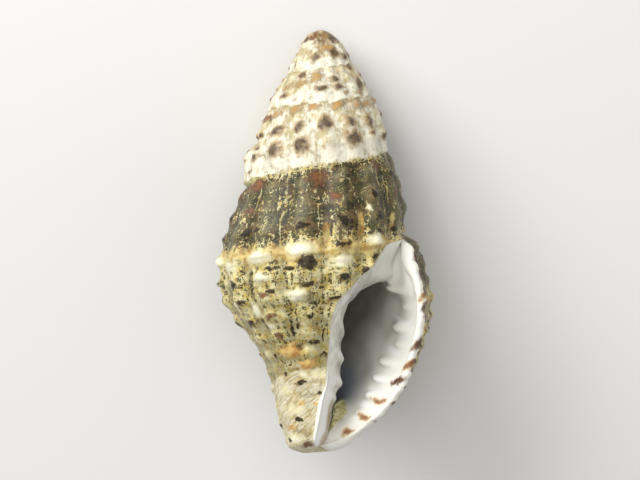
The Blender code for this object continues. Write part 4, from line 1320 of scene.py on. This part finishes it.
# The coat: dark, browner and greyer in patches, with yellow where the noises and lines add up
coat = mixed(between(hue, 0.46, 0.62), "coatDark", "coatBrown")
coat = mixed(between(cloud, 0.55, 0.75), coat, "coatGrey")
coat = mixed(times(between(fine, 0.44, 0.62), 0.40), coat, "coatLight")
coat = mixed(times(netLine, 0.60), coat, "coatLine")
coat = mixed(times(between(yellow, 0.25, 0.60), 0.34), coat, "coatLight")
yellowSum = added(yellow, swing(speck, 1.1), swing(fine, 0.9), swing(streak, 1.3),
                  swing(crossStreak, 0.6), times(web, 0.20), times(fineWeb, 0.30),
                  times(times(netLine, yellow), 0.65), times(longLine, 0.30),
                  times(ribLine, 0.36), times(ladder, -0.42), swing(hatchFine, 0.5))
yellowTone = mixed(between(grain(place, patternSize["yellowTone"]), 0.38, 0.66),
                   "yellowPale", "yellowDeep")
yellowCut = times(between(yellowSum, 0.47, 0.70),
                  added(0.76, times(between(blotch, 0.35, 0.65), 0.24)))
skinColour = mixed(yellowCut, coat, yellowTone)
ochreTone = mixed(between(grain(place, patternSize["ochreTone"], 4.0), 0.40, 0.62),
                  "ochre", "ochrePale")
ochreCut = between(added(ochre, swing(speck, 0.9)), 0.30, 0.72)
skinColour = mixed(times(ochreCut, 0.88), skinColour, ochreTone)

# The neck: cream, with stains and grey slashes along the scratches
neckTone = mixed(between(added(times(hatch, 0.6), times(hue, 0.4)), 0.46, 0.58),
                 "neck", "neckStain")
neckTone = mixed(times(between(hatchFine, 0.56, 0.66), 0.65), neckTone, "neckGrey")
neckTone = mixed(times(between(hatch, 0.58, 0.68), between(cloud, 0.46, 0.80)), neckTone,
                 "coatDark")
neckTone = mixed(times(between(hatchFine, 0.40, 0.34), 0.8), neckTone, "neck")
neckCut = between(added(neck, swing(cloud, 1.6)), 0.35, 0.75)
skinColour = mixed(times(neckCut, 0.92), skinColour, neckTone)
creamCut = between(added(cream, swing(speck, 0.5), swing(hatch, 1.8)), 0.35, 0.65)
skinColour = mixed(creamCut, skinColour, "cream")

# The spire: chalky, stained beside its seams, with grey painted shade in its dips and crease,
# and a few tiny dark specks
grime = added(times(speck, 0.20), times(streak, 0.30), times(hue, 0.50),
              times(reckon("SUBTRACT", yellow, 0.42), 0.40))
chalk = mixed(times(between(grime, 0.44, 0.60), 0.90), "spire", "spireStain")
chalk = mixed(between(added(dip, swing(speck, 2.0)), 0.80, 1.7), chalk, "spireDipShade")
pinSpot = lineOf(cells(place, patternSize["pin"], "F1"), 0.05, 0.12)
chalk = mixed(times(pinSpot, between(cloud, 0.50, 0.58)), chalk, "darkSoft")
spireCut = between(added(spire, swing(speck, 0.8)), 0.35, 0.65)
skinColour = mixed(spireCut, skinColour, chalk)

broken = added(reckon("SUBTRACT", speck, 0.5), swing(blotch, 0.9))


# A kind of mark laid over the skin, its edge broken by the coarse and the fine noise
def laid(under, cover, colour, low, high, ragged, strength):
    cut = between(added(cover, times(broken, ragged)), low, high)
    return mixed(times(cut, strength), under, colour)


# Two numbers blended by a third
def eased(factor, first, second):
    node = tree.nodes.new("ShaderNodeMix")
    feed(node.inputs[0], factor)
    feed(node.inputs[2], first)
    feed(node.inputs[3], second)
    return node.outputs[0]


# Painted shade in the dips (coat dark) and a painted highlight on the crests (pale yellow),
# then the marks: cover, colour, from and to which cover it shows, how ragged, how strong
shade = times(between(added(dip, reckon("SUBTRACT", speck, 0.5)), 0.2, 1.0),
              eased(reckon("MAXIMUM", spire, neckCut), 0.40, 0.10))
skinColour = mixed(shade, skinColour, "coatDark")
skinColour = mixed(times(crest, 0.16), skinColour, "yellowPale")
orangeTone = mixed(between(hue, 0.42, 0.6), "orange", "orangePale")
orangeTone = mixed(times(spire, 0.8), orangeTone, "orangeSpire")
redTone = mixed(between(speck, 0.42, 0.60), "red", "redDeep")
middleOf = between(added(dark, swing(fine, 0.5)), 0.58, 0.84)
darkTone = mixed(times(spire, times(middleOf, 0.75)), "dark", "darkSoft")
for mark in (
    (grey, "grey", 0.30, 0.75, 1.6, 0.38),
    (dark, mixed(spire, "ochre", "halo"), eased(spire, 0.18, 0.02), eased(spire, 0.58, 0.46),
     0.5, eased(spire, 0.25, 0.70)),
    (orange, "orangeRing", 0.10, 0.52, 1.2, times(spire, 0.60)),
    (orange, orangeTone, eased(spire, 0.26, 0.42), eased(spire, 0.70, 0.90), 1.0, 0.80),
    (red, "redDeep", 0.24, 0.60, 1.2, 0.60),
    (red, redTone, 0.40, 0.80, 1.2, 0.85),
    (white, "yellowPale", 0.16, 0.50, 0.9, 0.6),
    (white, "white", 0.36, 0.78, 0.6, 0.92),
    (dark, darkTone, eased(spire, 0.38, 0.26), eased(spire, 0.62, 0.84),
     eased(spire, 1.2, 0.7), 0.92),
):
    skinColour = laid(skinColour, *mark)

# Inside: pearl, greyer further in and bluer lower down where it is deep, both painted shade,
# browner in clouds, whiter on teeth and knobs, the lip's crust and spots over its rim, dirt in
# the canal
pearlCloud = grain(place, patternSize["pearlCloud"], 1.0, 0.4)
depth = partsOf(winding)[1]
pearlTone = mixed(between(deep, 0.10, 0.80), "pearl", "pearlShade")
pearlTone = mixed(times(between(pearlCloud, 0.40, 0.72), deep), pearlTone, "pearlBrown")
pearlTone = mixed(times(between(depth, 23.5, 26.5), between(deep, 0.15, 0.6)), pearlTone,
                  "pearlBlueShade")
pearlTone = mixed(times(grey, between(hue, 0.30, 0.62)), pearlTone, "band")
pearlTone = laid(pearlTone, orange, "bandStain", 0.25, 0.85, 1.1, 0.65)
pearlTone = mixed(crest, pearlTone, "tooth")
rimTone = mixed(between(blotch, 0.50, 0.62), "rimYellow", "coatBrown")
rimCut = between(added(rimCrust, swing(speck, 0.9)), 0.25, 0.55)
pearlTone = mixed(rimCut, pearlTone, rimTone)
for spot in (
    (red, "orangePale", 0.16, 0.60, 0.5, 0.6),
    (red, "lipBrown", 0.36, 0.80, 0.7, 0.9),
    (dark, "lipBrown", 0.18, 0.50, 0.8, 0.7),
    (dark, "redDeep", 0.34, 0.66, 0.9, 0.92),
):
    pearlTone = laid(pearlTone, *spot)
dirtTone = mixed(between(speck, 0.42, 0.60), "dirt", "dirtPale")
dirtCut = between(added(dirt, reckon("SUBTRACT", speck, 0.5)), 0.25, 0.6)
pearlTone = mixed(dirtCut, pearlTone, dirtTone)
skinColour = mixed(mouth, skinColour, pearlTone)

# Roughness and bump, both least on the pearl
rougher = skinLook["spireRough"] - skinLook["coatRough"]
rough = added(skinLook["coatRough"], times(spireCut, rougher),
              swing(speck, skinLook["roughVaries"]))
rough = eased(between(dark, 0.45, 0.65), rough, skinLook["spotRough"])
smooth = times(mouth, reckon("SUBTRACT", 1.0, dirt, clamp=True))
rough = eased(smooth, rough, skinLook["pearlRough"])
bumpHeight = added(times(speck, 0.7), times(streak, 0.5), times(ribLine, times(yellowCut, 0.25)))
bumpHeight = times(bumpHeight, reckon("SUBTRACT", 1.0, times(smooth, 0.92)))
bump = tree.nodes.new("ShaderNodeBump")
bump.inputs["Strength"].default_value = skinLook["bump"]
bump.inputs["Distance"].default_value = skinLook["bumpDepth"] * unit
feed(bump.inputs["Height"], bumpHeight)

shader = tree.nodes["Principled BSDF"]
shader.inputs["Specular IOR Level"].default_value = skinLook["specular"]
feed(shader.inputs["Base Color"], skinColour)
feed(shader.inputs["Roughness"], rough)
feed(shader.inputs["Normal"], bump.outputs[0])
mesh.materials.append(skin)
print("skin mixed:", len(tree.nodes), "nodes")

# The floor's size and its lights' sizes are in metres, their places in units along the shell's
# own axes, their powers in watts
stageLook = {
    "floor": (0.78, 0.77, 0.75),
    "floorRough": 0.9,
    "floorSize": 1.2,
    "sky": 0.33,
    "lights": {
        "keyLight": ((-160.0, 140.0, 165.0), 0.20, 0.88),
        "frontLight": ((-20.0, 40.0, 260.0), 0.20, 0.32),
        "fillLight": ((180.0, -40.0, 160.0), 0.25, 0.10),
    },
}

floorMesh = bpy.data.meshes.new("floor")
half = stageLook["floorSize"] / 2.0
floorMesh.from_pydata([(-half, -half, 0.0), (half, -half, 0.0), (half, half, 0.0),
                       (-half, half, 0.0)], [], [(0, 1, 2, 3)])
floor = bpy.data.objects.new("floor", floorMesh)
bpy.context.scene.collection.objects.link(floor)
floorPaint = bpy.data.materials.new("palePaper")
floorPaint.use_nodes = True
floorShader = floorPaint.node_tree.nodes["Principled BSDF"]
floorShader.inputs["Base Color"].default_value = (*stageLook["floor"], 1.0)
floorShader.inputs["Roughness"].default_value = stageLook["floorRough"]
floorMesh.materials.append(floorPaint)

bpy.context.scene.view_settings.view_transform = "Standard"
world = bpy.data.worlds.new("studio")
bpy.context.scene.world = world
world.use_nodes = True
sky = world.node_tree.nodes["Background"]
sky.inputs["Color"].default_value = (1.0, 1.0, 1.0, 1.0)
sky.inputs["Strength"].default_value = stageLook["sky"]


# A square soft light at a place in the shell's own axes, aimed at its middle
def softLight(name, place, size, power):
    data = bpy.data.lights.new(name, "AREA")
    data.energy = power
    data.size = size
    lamp = bpy.data.objects.new(name, data)
    at = Vector(toMetres(np.array(place)))
    aim = Vector(toMetres(np.zeros(3)))
    lamp.location = at
    lamp.rotation_euler = (aim - at).to_track_quat("-Z", "Y").to_euler()
    bpy.context.scene.collection.objects.link(lamp)


for name, light in stageLook["lights"].items():
    softLight(name, *light)

# The camera looks straight at the shell's front
cameraSet = {
    "distance": 0.6,            # metres
    "across": 48.30,            # units shown across the width
    "middle": (0.0, 0.151, 0.0),    # the shell's point in the middle, in units
    "sensor": 36.0,             # mm
}

cameraData = bpy.data.cameras.new("camera")
cameraData.sensor_width = cameraSet["sensor"]
cameraData.lens = cameraSet["sensor"] * cameraSet["distance"] / (cameraSet["across"] * unit)
cameraData.clip_start = 0.01
camera = bpy.data.objects.new("camera", cameraData)
lookMatrix = turning.to_3x3().to_4x4()
lookMatrix.translation = (Vector(toMetres(np.array(cameraSet["middle"])))
                          + turning.to_3x3() @ Vector((0.0, 0.0, cameraSet["distance"])))
camera.matrix_world = lookMatrix
bpy.context.scene.collection.objects.link(camera)
bpy.context.scene.camera = camera
print("stage set")
